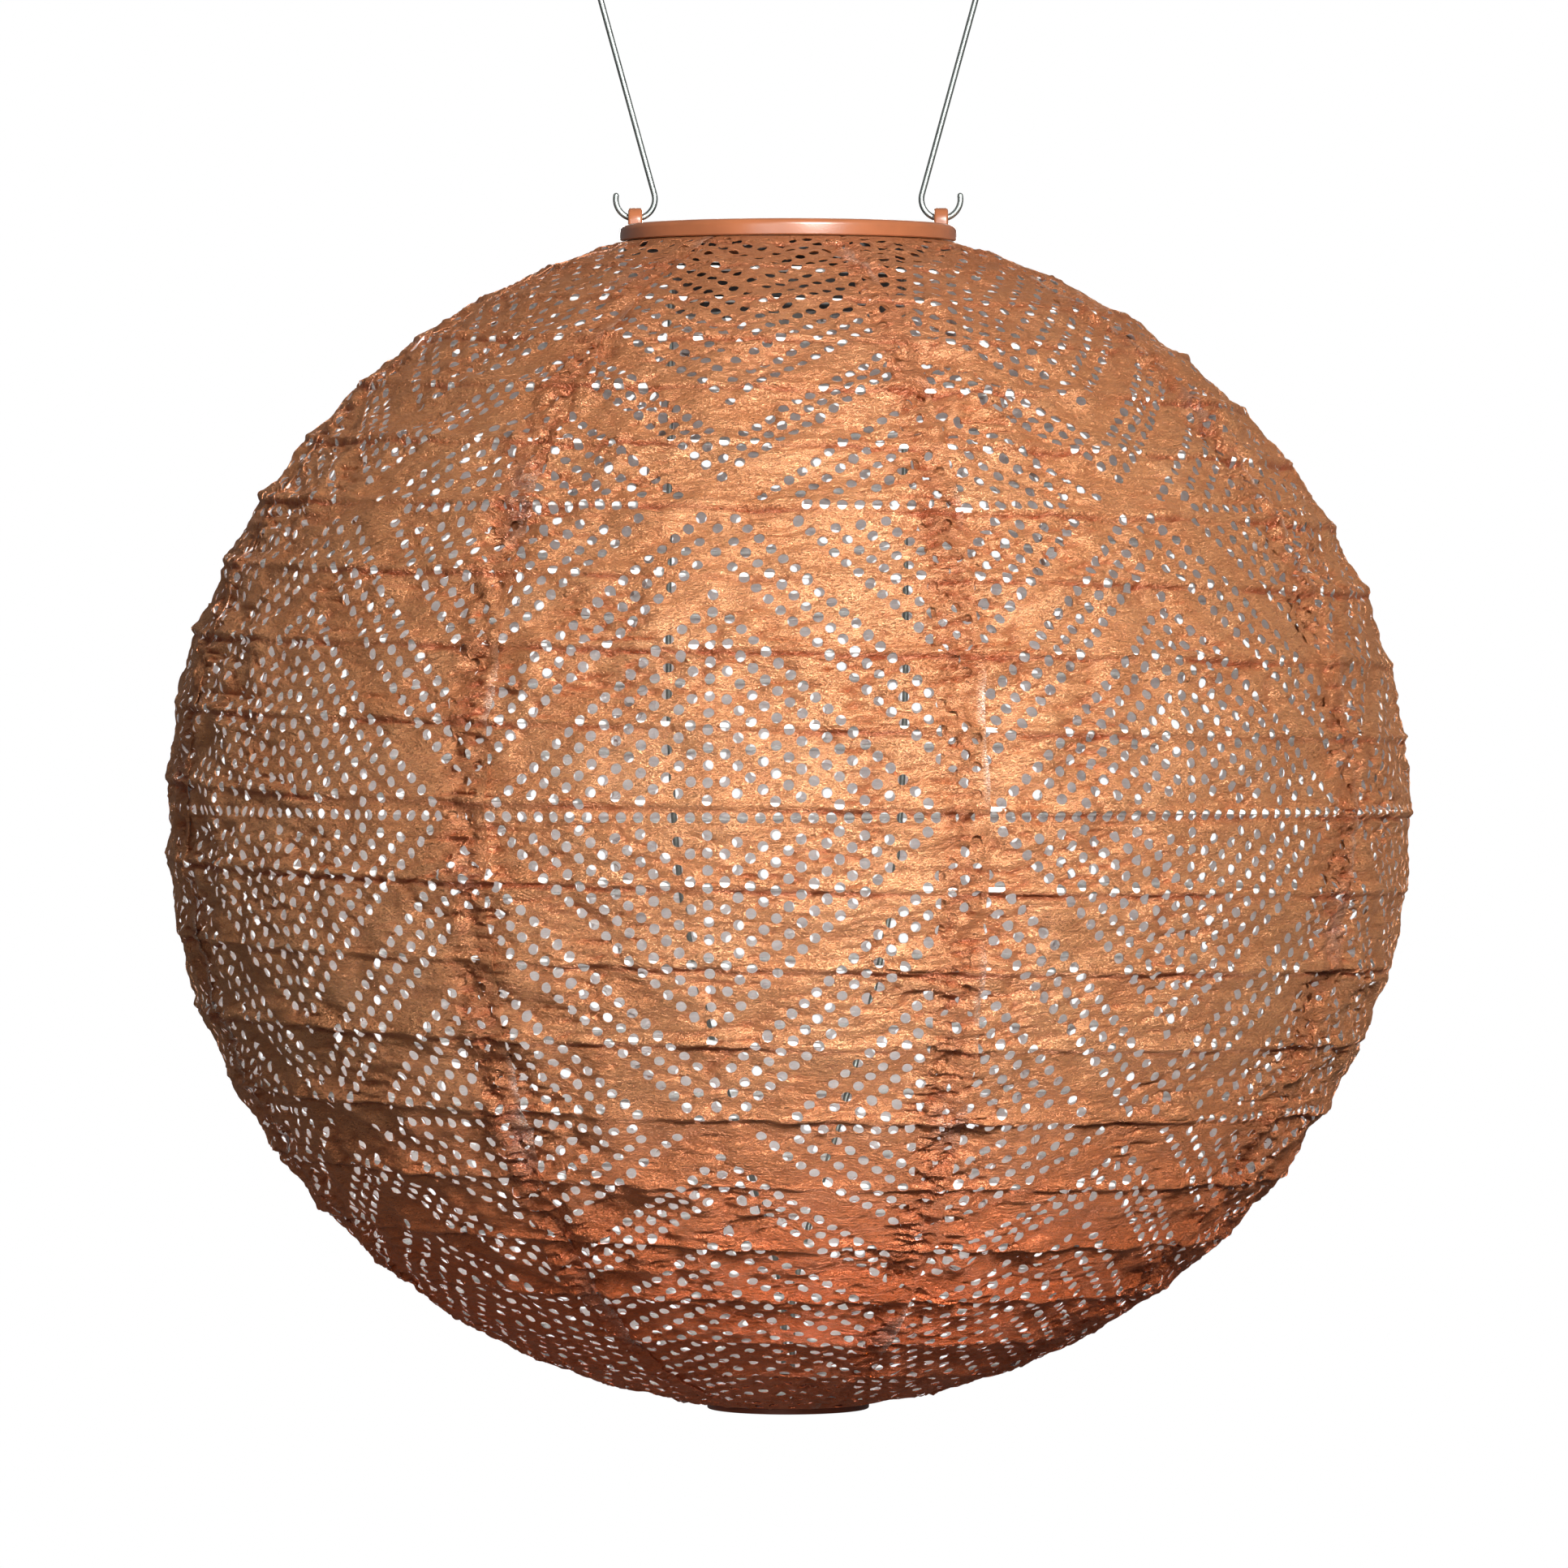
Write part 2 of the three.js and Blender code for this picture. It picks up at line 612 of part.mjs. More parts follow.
/** The stretcher: two bowed legs that meet in a doubled foot, one bent wire. */
function stretcher() {
  const foot = POCKET_FLOOR + FIT_GAP + HAIRPIN_HALF + STRETCHER_WIRE / 2;
  const head = SPIGOT_BOTTOM + SOCKET_DEPTH - FIT_GAP;
  const heightOf = (share) => share * (share > 0 ? GLOBE_UPPER : GLOBE_LOWER);
  const bow = new THREE.CatmullRomCurve3([
    new THREE.Vector3(SOCKET_RADIUS, 0, SPIGOT_BOTTOM - RING_SPIGOT),
    ...BOW.map(([reach, share]) => new THREE.Vector3(reach * SOCKET_RADIUS, 0, heightOf(share))),
    new THREE.Vector3(HAIRPIN_HALF, 0, heightOf(BOW_FOOT)),
  ]).getSpacedPoints(26);
  const turn = arc(0, foot, HAIRPIN_HALF, 0, -Math.PI, 8);
  const right = [new THREE.Vector3(SOCKET_RADIUS, 0, head), ...bow];
  const left = right.map((point) => new THREE.Vector3(-point.x, 0, point.z)).reverse();
  return wire([...right, ...turn, ...left], STRETCHER_WIRE).rotateZ(rad(STRETCHER_TURN));
}

/** The moulded ring that closes the base, with a bar across it and a pocket for the stretcher's foot. */
function bottomHub() {
  const [above, edge] = shadeStations().slice(-2);
  const share = (HUB_FLANGE - edge.radius) / (above.radius - edge.radius);
  const skin = edge.height + share * (above.height - edge.height);
  const flange = skin + LAYER + SHEET + FIT_GAP;
  const top = flange + HUB_FLANGE_THICK;
  const rim = turnedRing([
    [HUB_BORE, HUB_BOTTOM],
    [HUB_RIM, HUB_BOTTOM],
    [HUB_RIM, flange],
    [HUB_FLANGE, flange],
    [HUB_FLANGE, top],
    [HUB_BORE, top],
  ]);
  const reach = (HUB_BORE + HUB_RIM) / 2;
  const bar = block([-reach, -HUB_BAR / 2, HUB_BOTTOM], [reach, HUB_BAR / 2, HUB_BOTTOM + HUB_BAR_THICK]);
  const boss = rod(HUB_BOSS, HUB_BOTTOM, HUB_BOTTOM + HUB_BOSS_HEIGHT);
  const halfLength = HAIRPIN_HALF + STRETCHER_WIRE / 2 + FIT_GAP;
  const halfWidth = STRETCHER_WIRE / 2 + FIT_GAP;
  const pocket = block(
    [-halfLength, -halfWidth, POCKET_FLOOR],
    [halfLength, halfWidth, HUB_BOTTOM + HUB_BOSS_HEIGHT + 1],
  );
  return carve([rim, bar, boss], [pocket]).rotateZ(rad(STRETCHER_TURN));
}

// ---------------------------------------------------------------- the solar light module, below the ring's top

const COVER_BOTTOM = -COVER_DROP - COVER_THICK;
const FLANGE_BOTTOM = -SEAT_DEPTH + FIT_GAP;
const FLANGE_TOP = FLANGE_BOTTOM + FLANGE_THICK;
const PLUG_RADIUS = BORE_RADIUS - SLIP_GAP;
const CAN_BOTTOM = -CAN_DEPTH;
const FLOOR = CAN_BOTTOM + CAN_WALL;
const CAN_INNER = CAN_RADIUS - CAN_WALL;
const PANEL_FLOOR = -COVER_DROP - PANEL_THICK - 2 * FIT_GAP;
const CELL_Z = FLOOR + FIT_GAP + CELL_RADIUS;
const CELL_RIGHT = CELL_LENGTH / 2;
const NUB_TIP = -CELL_RIGHT - CELL_NUB;
const SPRING_WALL = CELL_RIGHT + FIT_GAP + SPRING_LENGTH + FIT_GAP;
const PLATE_WALL = NUB_TIP - FIT_GAP - CONTACT_THICK - FIT_GAP;
const DOOR_LEFT = PLATE_WALL + FIT_GAP;
const DOOR_RIGHT = SPRING_WALL - FIT_GAP;
const DOOR_NEAR = CELL_Y - DOOR_WIDTH / 2;
const DOOR_FAR = CELL_Y + DOOR_WIDTH / 2;
const DOOR_SCREW_Y = DOOR_NEAR - DOOR_TAB_REACH / 2 - FIT_GAP / 2;
const BOARD_BOTTOM = FLOOR + BOARD_HEIGHT;
const BOARD_TOP = BOARD_BOTTOM + BOARD_THICK;

function moduleCover() {
  const rimOuter = CAN_INNER - SLIP_GAP;
  const rimInner = rimOuter - COVER_RIM_WALL;
  const rimBottom = FLANGE_TOP - COVER_RIM_DEPTH;
  const plate = turned([
    [0, COVER_BOTTOM],
    [rimInner, COVER_BOTTOM],
    [rimInner, rimBottom],
    [rimOuter, rimBottom],
    [rimOuter, COVER_BOTTOM],
    [PLUG_RADIUS, COVER_BOTTOM],
    [PLUG_RADIUS, -COVER_DROP - FIT_GAP],
    [PLUG_RADIUS - FIT_GAP, -COVER_DROP],
    [0, -COVER_DROP],
  ]);
  const half = PANEL_SIDE / 2 + FIT_GAP;
  const recess = block([-half, -half, PANEL_FLOOR], [half, half, 1]);
  return carve([plate], [recess, rod(LEAD_HOLE, COVER_BOTTOM - 1, 1, 0, LEAD_HOLE_Y)]);
}

function solarPanel() {
  const half = PANEL_SIDE / 2;
  const bottom = PANEL_FLOOR + FIT_GAP;
  return block([-half, -half, bottom], [half, half, bottom + PANEL_THICK]);
}

function coverGasket() {
  const low = FLANGE_TOP + FIT_GAP;
  const high = COVER_BOTTOM - FIT_GAP;
  const outer = PLUG_RADIUS - GASKET_INSET;
  const inner = outer - GASKET_WIDTH;
  return turnedRing([[inner, low], [outer, low], [outer, high], [inner, high]]);
}

/** The can: a flange on the ring's seat, walls, a floor with the door's opening, and what stands on it. */
function moduleHousing() {
  const can = turned([
    [0, CAN_BOTTOM],
    [CAN_RADIUS - CAN_WALL, CAN_BOTTOM],
    [CAN_RADIUS, CAN_BOTTOM + CAN_WALL],
    [CAN_RADIUS, FLANGE_BOTTOM],
    [PLUG_RADIUS, FLANGE_BOTTOM],
    [PLUG_RADIUS, FLANGE_TOP],
    [CAN_INNER, FLANGE_TOP],
    [CAN_INNER, FLOOR],
    [0, FLOOR],
  ]);
  const sunk = FLOOR - CAN_WALL / 2;
  const wallNear = CELL_Y - CELL_RADIUS;
  const wallFar = CELL_Y + CELL_RADIUS;
  const wallTop = FLOOR + BAY_HEIGHT;
  const screwTop = FLOOR + DOOR_POST_HEIGHT;
  const added = [
    can,
    block([SPRING_WALL, wallNear, sunk], [SPRING_WALL + BAY_WALL, wallFar, wallTop]),
    block([PLATE_WALL - BAY_WALL, wallNear, sunk], [PLATE_WALL, wallFar, wallTop]),
    rod(POST_RADIUS, sunk, screwTop, 0, DOOR_SCREW_Y),
    rod(POST_RADIUS, sunk, BOARD_BOTTOM - FIT_GAP, BOARD_POST_X, BOARD_Y),
    rod(POST_RADIUS, sunk, BOARD_BOTTOM - FIT_GAP, -BOARD_POST_X, BOARD_Y),
  ];
  const gap = FIT_GAP;
  const tabHalf = DOOR_TAB / 2 + gap;
  const shank = SCREW_SHANK + gap;
  const slotHalf = [SWITCH_TRAVEL / 2 + STEM[0] + SLIP_GAP, STEM[1] + SLIP_GAP];
  const removed = [
    block(
      [DOOR_LEFT - gap, DOOR_NEAR - gap, CAN_BOTTOM - 1],
      [DOOR_RIGHT + gap, DOOR_FAR + gap, FLOOR + gap / 2],
    ),
    block(
      [-tabHalf, DOOR_NEAR - DOOR_TAB_REACH - gap, CAN_BOTTOM - 1],
      [tabHalf, DOOR_NEAR, CAN_BOTTOM + TAB_THICK + gap],
    ),
    rod(shank, CAN_BOTTOM - 1, screwTop - 1, 0, DOOR_SCREW_Y, 12),
    rod(shank, FLOOR + 2, BOARD_BOTTOM + 1, BOARD_POST_X, BOARD_Y, 12),
    rod(shank, FLOOR + 2, BOARD_BOTTOM + 1, -BOARD_POST_X, BOARD_Y, 12),
    rod(DIFFUSER_RADIUS + gap, CAN_BOTTOM - 1, FLOOR + 1, 0, BOARD_Y),
    block(
      [SWITCH_X - slotHalf[0], SWITCH_Y - slotHalf[1], CAN_BOTTOM - 1],
      [SWITCH_X + slotHalf[0], SWITCH_Y + slotHalf[1], FLOOR + 1],
    ),
  ];
  return carve(added, removed);
}

function batteryDoor() {
  const plate = block([DOOR_LEFT, DOOR_NEAR, CAN_BOTTOM], [DOOR_RIGHT, DOOR_FAR, FLOOR - FIT_GAP / 2]);
  const tab = block(
    [-DOOR_TAB / 2, DOOR_NEAR - DOOR_TAB_REACH, CAN_BOTTOM],
    [DOOR_TAB / 2, DOOR_NEAR + 1, CAN_BOTTOM + TAB_THICK],
  );
  const grip = (x) =>
    block([x - 0.6, CELL_Y - 4, CAN_BOTTOM - 0.6], [x + 0.6, CELL_Y + 4, CAN_BOTTOM + 0.4]);
  const hole = rod(SCREW_SHANK + FIT_GAP, CAN_BOTTOM - 1, FLOOR, 0, DOOR_SCREW_Y, 12);
  return carve([plate, tab, grip(-16), grip(-19), grip(-22)], [hole]);
}

/** A screw of the board, head up. */
function boardScrew(side) {
  return screw(side * BOARD_POST_X, BOARD_Y, BOARD_TOP + FIT_GAP, -BOARD_SCREW_LENGTH);
}

/** A pan-head screw that points up from its head, or down if its length is negative. */
function screw(x, y, headAt, length) {
  const sense = Math.sign(length);
  const head = headAt - sense * SCREW_HEAD_HEIGHT;
  return turned([
    [0, head],
    [SCREW_HEAD * 0.75, head],
    [SCREW_HEAD, headAt - sense * SCREW_HEAD_HEIGHT * 0.5],
    [SCREW_HEAD, headAt],
    [SCREW_SHANK, headAt],
    [SCREW_SHANK, headAt + length],
    [0, headAt + length],
  ], 12).translate(x, y, 0);
}

function battery() {
  const can = turned([
    [0, 0],
    [CELL_RADIUS - 0.5, 0],
    [CELL_RADIUS, 0.5],
    [CELL_RADIUS, CELL_LENGTH - 0.5],
    [CELL_RADIUS - 0.5, CELL_LENGTH],
    [CELL_NUB_RADIUS, CELL_LENGTH],
    [CELL_NUB_RADIUS, CELL_LENGTH + CELL_NUB],
    [0, CELL_LENGTH + CELL_NUB],
  ], 24);
  return can.rotateY(-Math.PI / 2).translate(CELL_RIGHT, CELL_Y, CELL_Z);
}

/** The negative contact: a conical coil that widens from the cell towards its wall. */
function batterySpring() {
  const turns = 3;
  const steps = 36;
  const start = CELL_RIGHT + FIT_GAP + SPRING_WIRE / 2;
  const run = SPRING_LENGTH - SPRING_WIRE;
  const points = Array.from({ length: steps + 1 }, (_, i) => {
    const angle = (2 * Math.PI * turns * i) / steps;
    const radius = 2.2 + (2.6 * i) / steps;
    return new THREE.Vector3(
      start + (run * i) / steps,
      CELL_Y + radius * Math.cos(angle),
      CELL_Z + radius * Math.sin(angle),
    );
  });
  return wire(points, SPRING_WIRE, 5);
}

function batteryPlate() {
  const right = NUB_TIP - FIT_GAP;
  return block(
    [right - CONTACT_THICK, CELL_Y - CONTACT_HALF, CELL_Z - CONTACT_HALF],
    [right, CELL_Y + CONTACT_HALF, CELL_Z + CONTACT_HALF],
  );
}

function circuitBoard() {
  const board = block(
    [-BOARD_LENGTH / 2, BOARD_Y - BOARD_WIDTH / 2, BOARD_BOTTOM],
    [BOARD_LENGTH / 2, BOARD_Y + BOARD_WIDTH / 2, BOARD_TOP],
  );
  const chip = block([6, BOARD_Y - 7, BOARD_TOP - 0.3], [11, BOARD_Y - 2, BOARD_TOP + 1.6]);
  const inductor = block([-11, BOARD_Y - 7, BOARD_TOP - 0.3], [-6, BOARD_Y - 3, BOARD_TOP + 3]);
  const holes = [1, -1].map((side) =>
    rod(SCREW_SHANK + FIT_GAP, BOARD_BOTTOM - 1, BOARD_TOP + 1, side * BOARD_POST_X, BOARD_Y, 12),
  );
  return carve([board, chip, inductor], holes);
}

function lightDiode() {
  const top = BOARD_BOTTOM - FIT_GAP;
  const tip = top - DIODE_LENGTH;
  const dome = Array.from({ length: 5 }, (_, i) => {
    const angle = (i / 4) * (Math.PI / 2);
    return [DIODE_RADIUS * Math.sin(angle), tip + DIODE_RADIUS * (1 - Math.cos(angle))];
  });
  const base = [
    [DIODE_RADIUS, top - 1],
    [DIODE_RADIUS + 0.4, top - 1],
    [DIODE_RADIUS + 0.4, top],
    [0, top],
  ];
  return turned([...dome, ...base], 16).translate(0, BOARD_Y, 0);
}

/** The frosted cup over the diode: a flange on the can's floor and a domed well below it. */
function diffuser() {
  const bowl = (radius, depth) =>
    Array.from({ length: 5 }, (_, i) => {
      const angle = (i / 4) * (Math.PI / 2);
      return [radius * Math.sin(angle), CAN_BOTTOM - depth * Math.cos(angle)];
    });
  const flange = FLOOR + FIT_GAP;
  const outside = bowl(DIFFUSER_RADIUS, DIFFUSER_DEPTH);
  const inside = bowl(DIFFUSER_RADIUS - DIFFUSER_WALL, DIFFUSER_DEPTH - DIFFUSER_WALL).reverse();
  return turned([
    ...outside,
    [DIFFUSER_RADIUS, flange],
    [DIFFUSER_FLANGE, flange],
    [DIFFUSER_FLANGE, flange + 1],
    [DIFFUSER_RADIUS - DIFFUSER_WALL, flange + 1],
    ...inside,
  ], SMALL_ROUND).translate(0, BOARD_Y, 0);
}

function switchBody() {
  const [length, width, height] = SWITCH_BODY;
  const bottom = FLOOR + FIT_GAP;
  return block(
    [SWITCH_X - length / 2, SWITCH_Y - width / 2, bottom],
    [SWITCH_X + length / 2, SWITCH_Y + width / 2, bottom + height],
  );
}

/** The slider, at the off end of its travel. */
function switchSlider() {
  const x = SWITCH_X - SWITCH_TRAVEL / 2;
  const under = CAN_BOTTOM - FIT_GAP;
  const face = under - PAD_THICK;
  const stem = block([x - STEM[0], SWITCH_Y - STEM[1], under - 1], [x + STEM[0], SWITCH_Y + STEM[1], FLOOR]);
  const pad = block([x - PAD[0], SWITCH_Y - PAD[1], face], [x + PAD[0], SWITCH_Y + PAD[1], under]);
  const ribs = [-1, 0, 1].map((place) => {
    const at = x + place * PAD[0] * 0.6;
    return block(
      [at - PAD_RIB / 2, SWITCH_Y - PAD[1], face - PAD_RIB],
      [at + PAD_RIB / 2, SWITCH_Y + PAD[1], face + PAD_RIB / 2],
    );
  });
  return carve([stem, pad, ...ribs]);
}

/** A lead from the panel's underside through the cover to the board. */
function panelLead(side) {
  const top = PANEL_FLOOR;
  const line = new THREE.CatmullRomCurve3(
    [
      [side * 1, LEAD_HOLE_Y, top],
      [side * 1, LEAD_HOLE_Y, COVER_BOTTOM - 2],
      [side * 2.4, LEAD_HOLE_Y - 1, (top + BOARD_TOP) / 2],
      [side * 3.4, BOARD_Y, BOARD_TOP + 3],
      [side * 3.4, BOARD_Y, BOARD_TOP + FIT_GAP],
    ].map((place) => new THREE.Vector3(...place)),
  );
  return wire(line.getSpacedPoints(8), LEAD_WIRE, 6);
}

function buildModule() {
  add(lightModule, "module_cover", moduleCover(), blackPlastic);
  add(lightModule, "solar_panel", solarPanel(), solarGlass);
  add(lightModule, "cover_gasket", coverGasket(), rubber);
  add(lightModule, "module_housing", moduleHousing(), blackPlastic);
  add(lightModule, "battery_door", batteryDoor(), blackPlastic);
  add(lightModule, "door_screw", screw(0, DOOR_SCREW_Y, CAN_BOTTOM - FIT_GAP, DOOR_SCREW_LENGTH), spring);
  add(lightModule, "battery", battery(), cellWrap);
  add(lightModule, "battery_spring", batterySpring(), spring);
  add(lightModule, "battery_plate", batteryPlate(), spring);
  add(lightModule, "circuit_board", circuitBoard(), boardGreen);
  add(lightModule, "board_screw_1", boardScrew(1), spring);
  add(lightModule, "board_screw_2", boardScrew(-1), spring);
  add(lightModule, "light_diode", lightDiode(), clearLens);
  add(lightModule, "diffuser", diffuser(), frosted);
  add(lightModule, "switch_body", switchBody(), blackPlastic);
  add(lightModule, "switch_slider", switchSlider(), whiteWire);
  add(lightModule, "panel_lead_red", panelLead(1), leadRed);
  add(lightModule, "panel_lead_black", panelLead(-1), leadBlack);
}

// ---------------------------------------------------------------- the whole lantern

buildShade();
add(lantern, "neck_ring", neckRing(), brownPlastic);
add(lantern, "clamp_ring", clampRing(), blackPlastic);
add(lantern, "bail", bail(), galvanised);
add(lantern, "stretcher", stretcher(), galvanised);
add(lantern, "bottom_hub", bottomHub(), brownPlastic);
buildModule();

export default root;
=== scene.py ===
"""The looks of a hanging garden lantern: a punched copper sheet globe on a spiral rib, hung from a wire bail.

Everything is in metres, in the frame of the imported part: +Z up, the front is -Y, and the origin is the inner
top of the bail's eye.
"""

import logging
import math
from dataclasses import dataclass, field
from enum import Enum

import bmesh
import bpy
import numpy as np
from mathutils import Matrix, Vector
from mathutils.geometry import delaunay_2d_cdt


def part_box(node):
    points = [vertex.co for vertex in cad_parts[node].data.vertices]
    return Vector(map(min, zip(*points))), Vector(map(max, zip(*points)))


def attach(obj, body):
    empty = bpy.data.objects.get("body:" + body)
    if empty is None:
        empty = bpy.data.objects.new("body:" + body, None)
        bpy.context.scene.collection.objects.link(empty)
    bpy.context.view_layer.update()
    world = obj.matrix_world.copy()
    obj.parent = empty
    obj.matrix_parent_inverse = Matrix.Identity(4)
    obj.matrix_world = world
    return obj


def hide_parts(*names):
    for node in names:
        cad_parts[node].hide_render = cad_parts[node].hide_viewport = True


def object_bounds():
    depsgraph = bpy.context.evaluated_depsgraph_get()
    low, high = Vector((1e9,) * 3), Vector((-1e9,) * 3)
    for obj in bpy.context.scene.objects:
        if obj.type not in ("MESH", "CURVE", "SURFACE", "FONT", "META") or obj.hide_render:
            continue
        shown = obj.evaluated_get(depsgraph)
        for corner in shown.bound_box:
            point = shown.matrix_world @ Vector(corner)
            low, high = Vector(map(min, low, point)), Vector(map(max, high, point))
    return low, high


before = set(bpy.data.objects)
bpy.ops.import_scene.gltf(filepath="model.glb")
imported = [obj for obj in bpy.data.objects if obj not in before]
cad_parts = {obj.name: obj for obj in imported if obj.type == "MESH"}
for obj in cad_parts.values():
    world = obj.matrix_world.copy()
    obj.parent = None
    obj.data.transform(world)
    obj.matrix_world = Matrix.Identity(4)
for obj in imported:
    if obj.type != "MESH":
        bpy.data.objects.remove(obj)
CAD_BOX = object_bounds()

log = logging.getLogger("lantern")
MM = 0.001
PER_RADIAN = 57.3  # degrees in a radian

# Points nearer than MERGE are one point, and an edge shorter than SLIVER is none.
MERGE = 1e-6
SLIVER = 1e-7

# The sheet's flat UV map, and its attributes: painted shade darkening the folds, seams and top, worn bare, and
# painted shade of a deeper red toward the base.
FLAT_MAP = "flat"
FOLD_AND_TOP_SHADE = "fold_and_top_shade"
WORN = "worn"
PAINTED_BASE_SHADE = "base_shade"

Triple = tuple[float, float, float]


class Body(Enum):
    """The bodies that pieces ride on."""

    BAIL = "bail"
    LANTERN = "lantern"
    MODULE = "solar_module"
    SWITCH = "switch_slider"


class Side(Enum):
    """The two sides of the neck ring, along X."""

    RIGHT = 1
    LEFT = -1


class Join(Enum):
    """How a second solid meets the first."""

    ADD = "UNION"
    CUT = "DIFFERENCE"


# ------------------------------------------------------------------ meshes from arrays


def put_mesh(name: str, points: np.ndarray, faces: np.ndarray) -> bpy.types.Object:
    """Puts whole arrays of points and faces into a new object at the origin.

    Args:
        name: the piece's name.
        points: n by 3 places.
        faces: m by 3 or m by 4 point numbers.

    Returns:
        The object, smooth shaded.
    """
    mesh = bpy.data.meshes.new(name)
    count, corners = faces.shape
    mesh.vertices.add(len(points))
    mesh.vertices.foreach_set("co", np.ascontiguousarray(points, dtype=np.float32).ravel())
    mesh.loops.add(count * corners)
    mesh.loops.foreach_set("vertex_index", np.ascontiguousarray(faces, dtype=np.int32).ravel())
    mesh.polygons.add(count)
    mesh.polygons.foreach_set("loop_start", np.arange(count, dtype=np.int32) * corners)
    mesh.polygons.foreach_set("use_smooth", np.ones(count, dtype=bool))
    mesh.update(calc_edges=True)
    mesh.validate()
    piece = bpy.data.objects.new(name, mesh)
    bpy.context.scene.collection.objects.link(piece)
    return piece


def grid_faces(rows: int, columns: int, round_rows: bool = False, round_columns: bool = False) -> np.ndarray:
    """The quads of a grid of points, row after row, that may close on itself either way.

    Args:
        rows: points along the first way.
        columns: points along the second way.
        round_rows: whether the last row joins the first.
        round_columns: whether the last column joins the first.

    Returns:
        m by 4 point numbers.
    """
    i = np.arange(rows if round_rows else rows - 1)
    j = np.arange(columns if round_columns else columns - 1)
    i, j = (part.ravel() for part in np.meshgrid(i, j, indexing="ij"))
    next_i, next_j = (i + 1) % rows, (j + 1) % columns
    return np.stack(
        [i * columns + j, i * columns + next_j, next_i * columns + next_j, next_i * columns + j], axis=1
    )


def weld(piece: bpy.types.Object, sharp_degrees: float = 35.0) -> bpy.types.Object:
    """Merges the points that poles and seams share, turns the faces out and keeps the sharp edges.

    Args:
        piece: the object to clean.
        sharp_degrees: the least angle of an edge that stays sharp.

    Returns:
        The same object.
    """
    work = bmesh.new()
    work.from_mesh(piece.data)
    bmesh.ops.remove_doubles(work, verts=work.verts, dist=MERGE)
    bmesh.ops.dissolve_degenerate(work, edges=work.edges, dist=SLIVER)
    bmesh.ops.recalc_face_normals(work, faces=work.faces)
    work.to_mesh(piece.data)
    work.free()
    piece.data.shade_smooth()
    piece.data.set_sharp_from_angle(angle=math.radians(sharp_degrees))
    return piece


def rounded(corners: list[tuple[float, float]], radius: float, steps: int = 4) -> np.ndarray:
    """A closed outline with its corners rounded.

    Each corner becomes a quadratic curve from one edge to the next: (1-t)^2 a + 2t(1-t) corner + t^2 b.

    Args:
        corners: the outline's sharp corners.
        radius: how far from a corner the rounding starts, at most 45% of an edge.
        steps: straight steps in a rounding.

    Returns:
        The outline's points.
    """
    here = np.array(corners, dtype=float)
    back, ahead = np.roll(here, 1, axis=0) - here, np.roll(here, -1, axis=0) - here
    back_length = np.linalg.norm(back, axis=1, keepdims=True)
    ahead_length = np.linalg.norm(ahead, axis=1, keepdims=True)
    first = here + back / back_length * np.minimum(radius, 0.45 * back_length)
    last = here + ahead / ahead_length * np.minimum(radius, 0.45 * ahead_length)
    t = np.linspace(0, 1, steps + 1)[None, :, None]
    curve = (1 - t) ** 2 * first[:, None] + 2 * t * (1 - t) * here[:, None] + t**2 * last[:, None]
    return curve.reshape(-1, 2)


def turned(name: str, outline: np.ndarray, facets: int = 160) -> bpy.types.Object:
    """A closed outline of (radius, height) turned about Z: (r cos a, r sin a, h) for each angle a.

    Args:
        name: the piece's name.
        outline: the closed outline, as (radius, height).
        facets: flat steps round the axis.

    Returns:
        The closed solid.
    """
    angle = np.linspace(0, 2 * np.pi, facets, endpoint=False)[:, None]
    radius, height = outline[None, :, 0], outline[None, :, 1]
    points = np.stack(np.broadcast_arrays(radius * np.cos(angle), radius * np.sin(angle), height), axis=-1)
    return weld(put_mesh(name, points.reshape(-1, 3), grid_faces(facets, len(outline), True, True)))


def capped(name: str, rings: np.ndarray) -> bpy.types.Object:
    """A closed solid: rings of points joined one to the next, with a flat face on the first and the last.

    Args:
        name: the piece's name.
        rings: levels by n by 3 points.

    Returns:
        The closed solid.
    """
    levels, count, _ = rings.shape
    points = rings.reshape(-1, 3)
    caps = [list(range(count))[::-1], list(range(len(points) - count, len(points)))]
    mesh = bpy.data.meshes.new(name)
    mesh.from_pydata(points.tolist(), [], grid_faces(levels, count, False, True).tolist() + caps)
    piece = bpy.data.objects.new(name, mesh)
    bpy.context.scene.collection.objects.link(piece)
    return weld(piece)


def slab(name: str, low: Triple, high: Triple, radius: float = 0.4 * MM) -> bpy.types.Object:
    """A box with rounded edges: a rounded rectangle, drawn in by a quarter round at its top and bottom.

    Args:
        name: the piece's name.
        low: its lowest corner.
        high: its highest corner.
        radius: of its rounded edges.

    Returns:
        The closed solid.
    """
    turn = np.linspace(0, np.pi / 2, 4)
    inset = np.concatenate([radius * (1 - np.sin(turn)), radius * (1 - np.cos(turn))])
    level = np.concatenate([low[2] + radius * (1 - np.cos(turn)), high[2] - radius * (1 - np.sin(turn))])
    rings = []
    for pull, z in zip(inset, level):
        box = [(low[0] + pull, low[1] + pull), (high[0] - pull, low[1] + pull)]
        box += [(high[0] - pull, high[1] - pull), (low[0] + pull, high[1] - pull)]
        ring = rounded(box, radius * 1.5)
        rings.append(np.column_stack([ring, np.full(len(ring), z)]))
    return capped(name, np.array(rings))


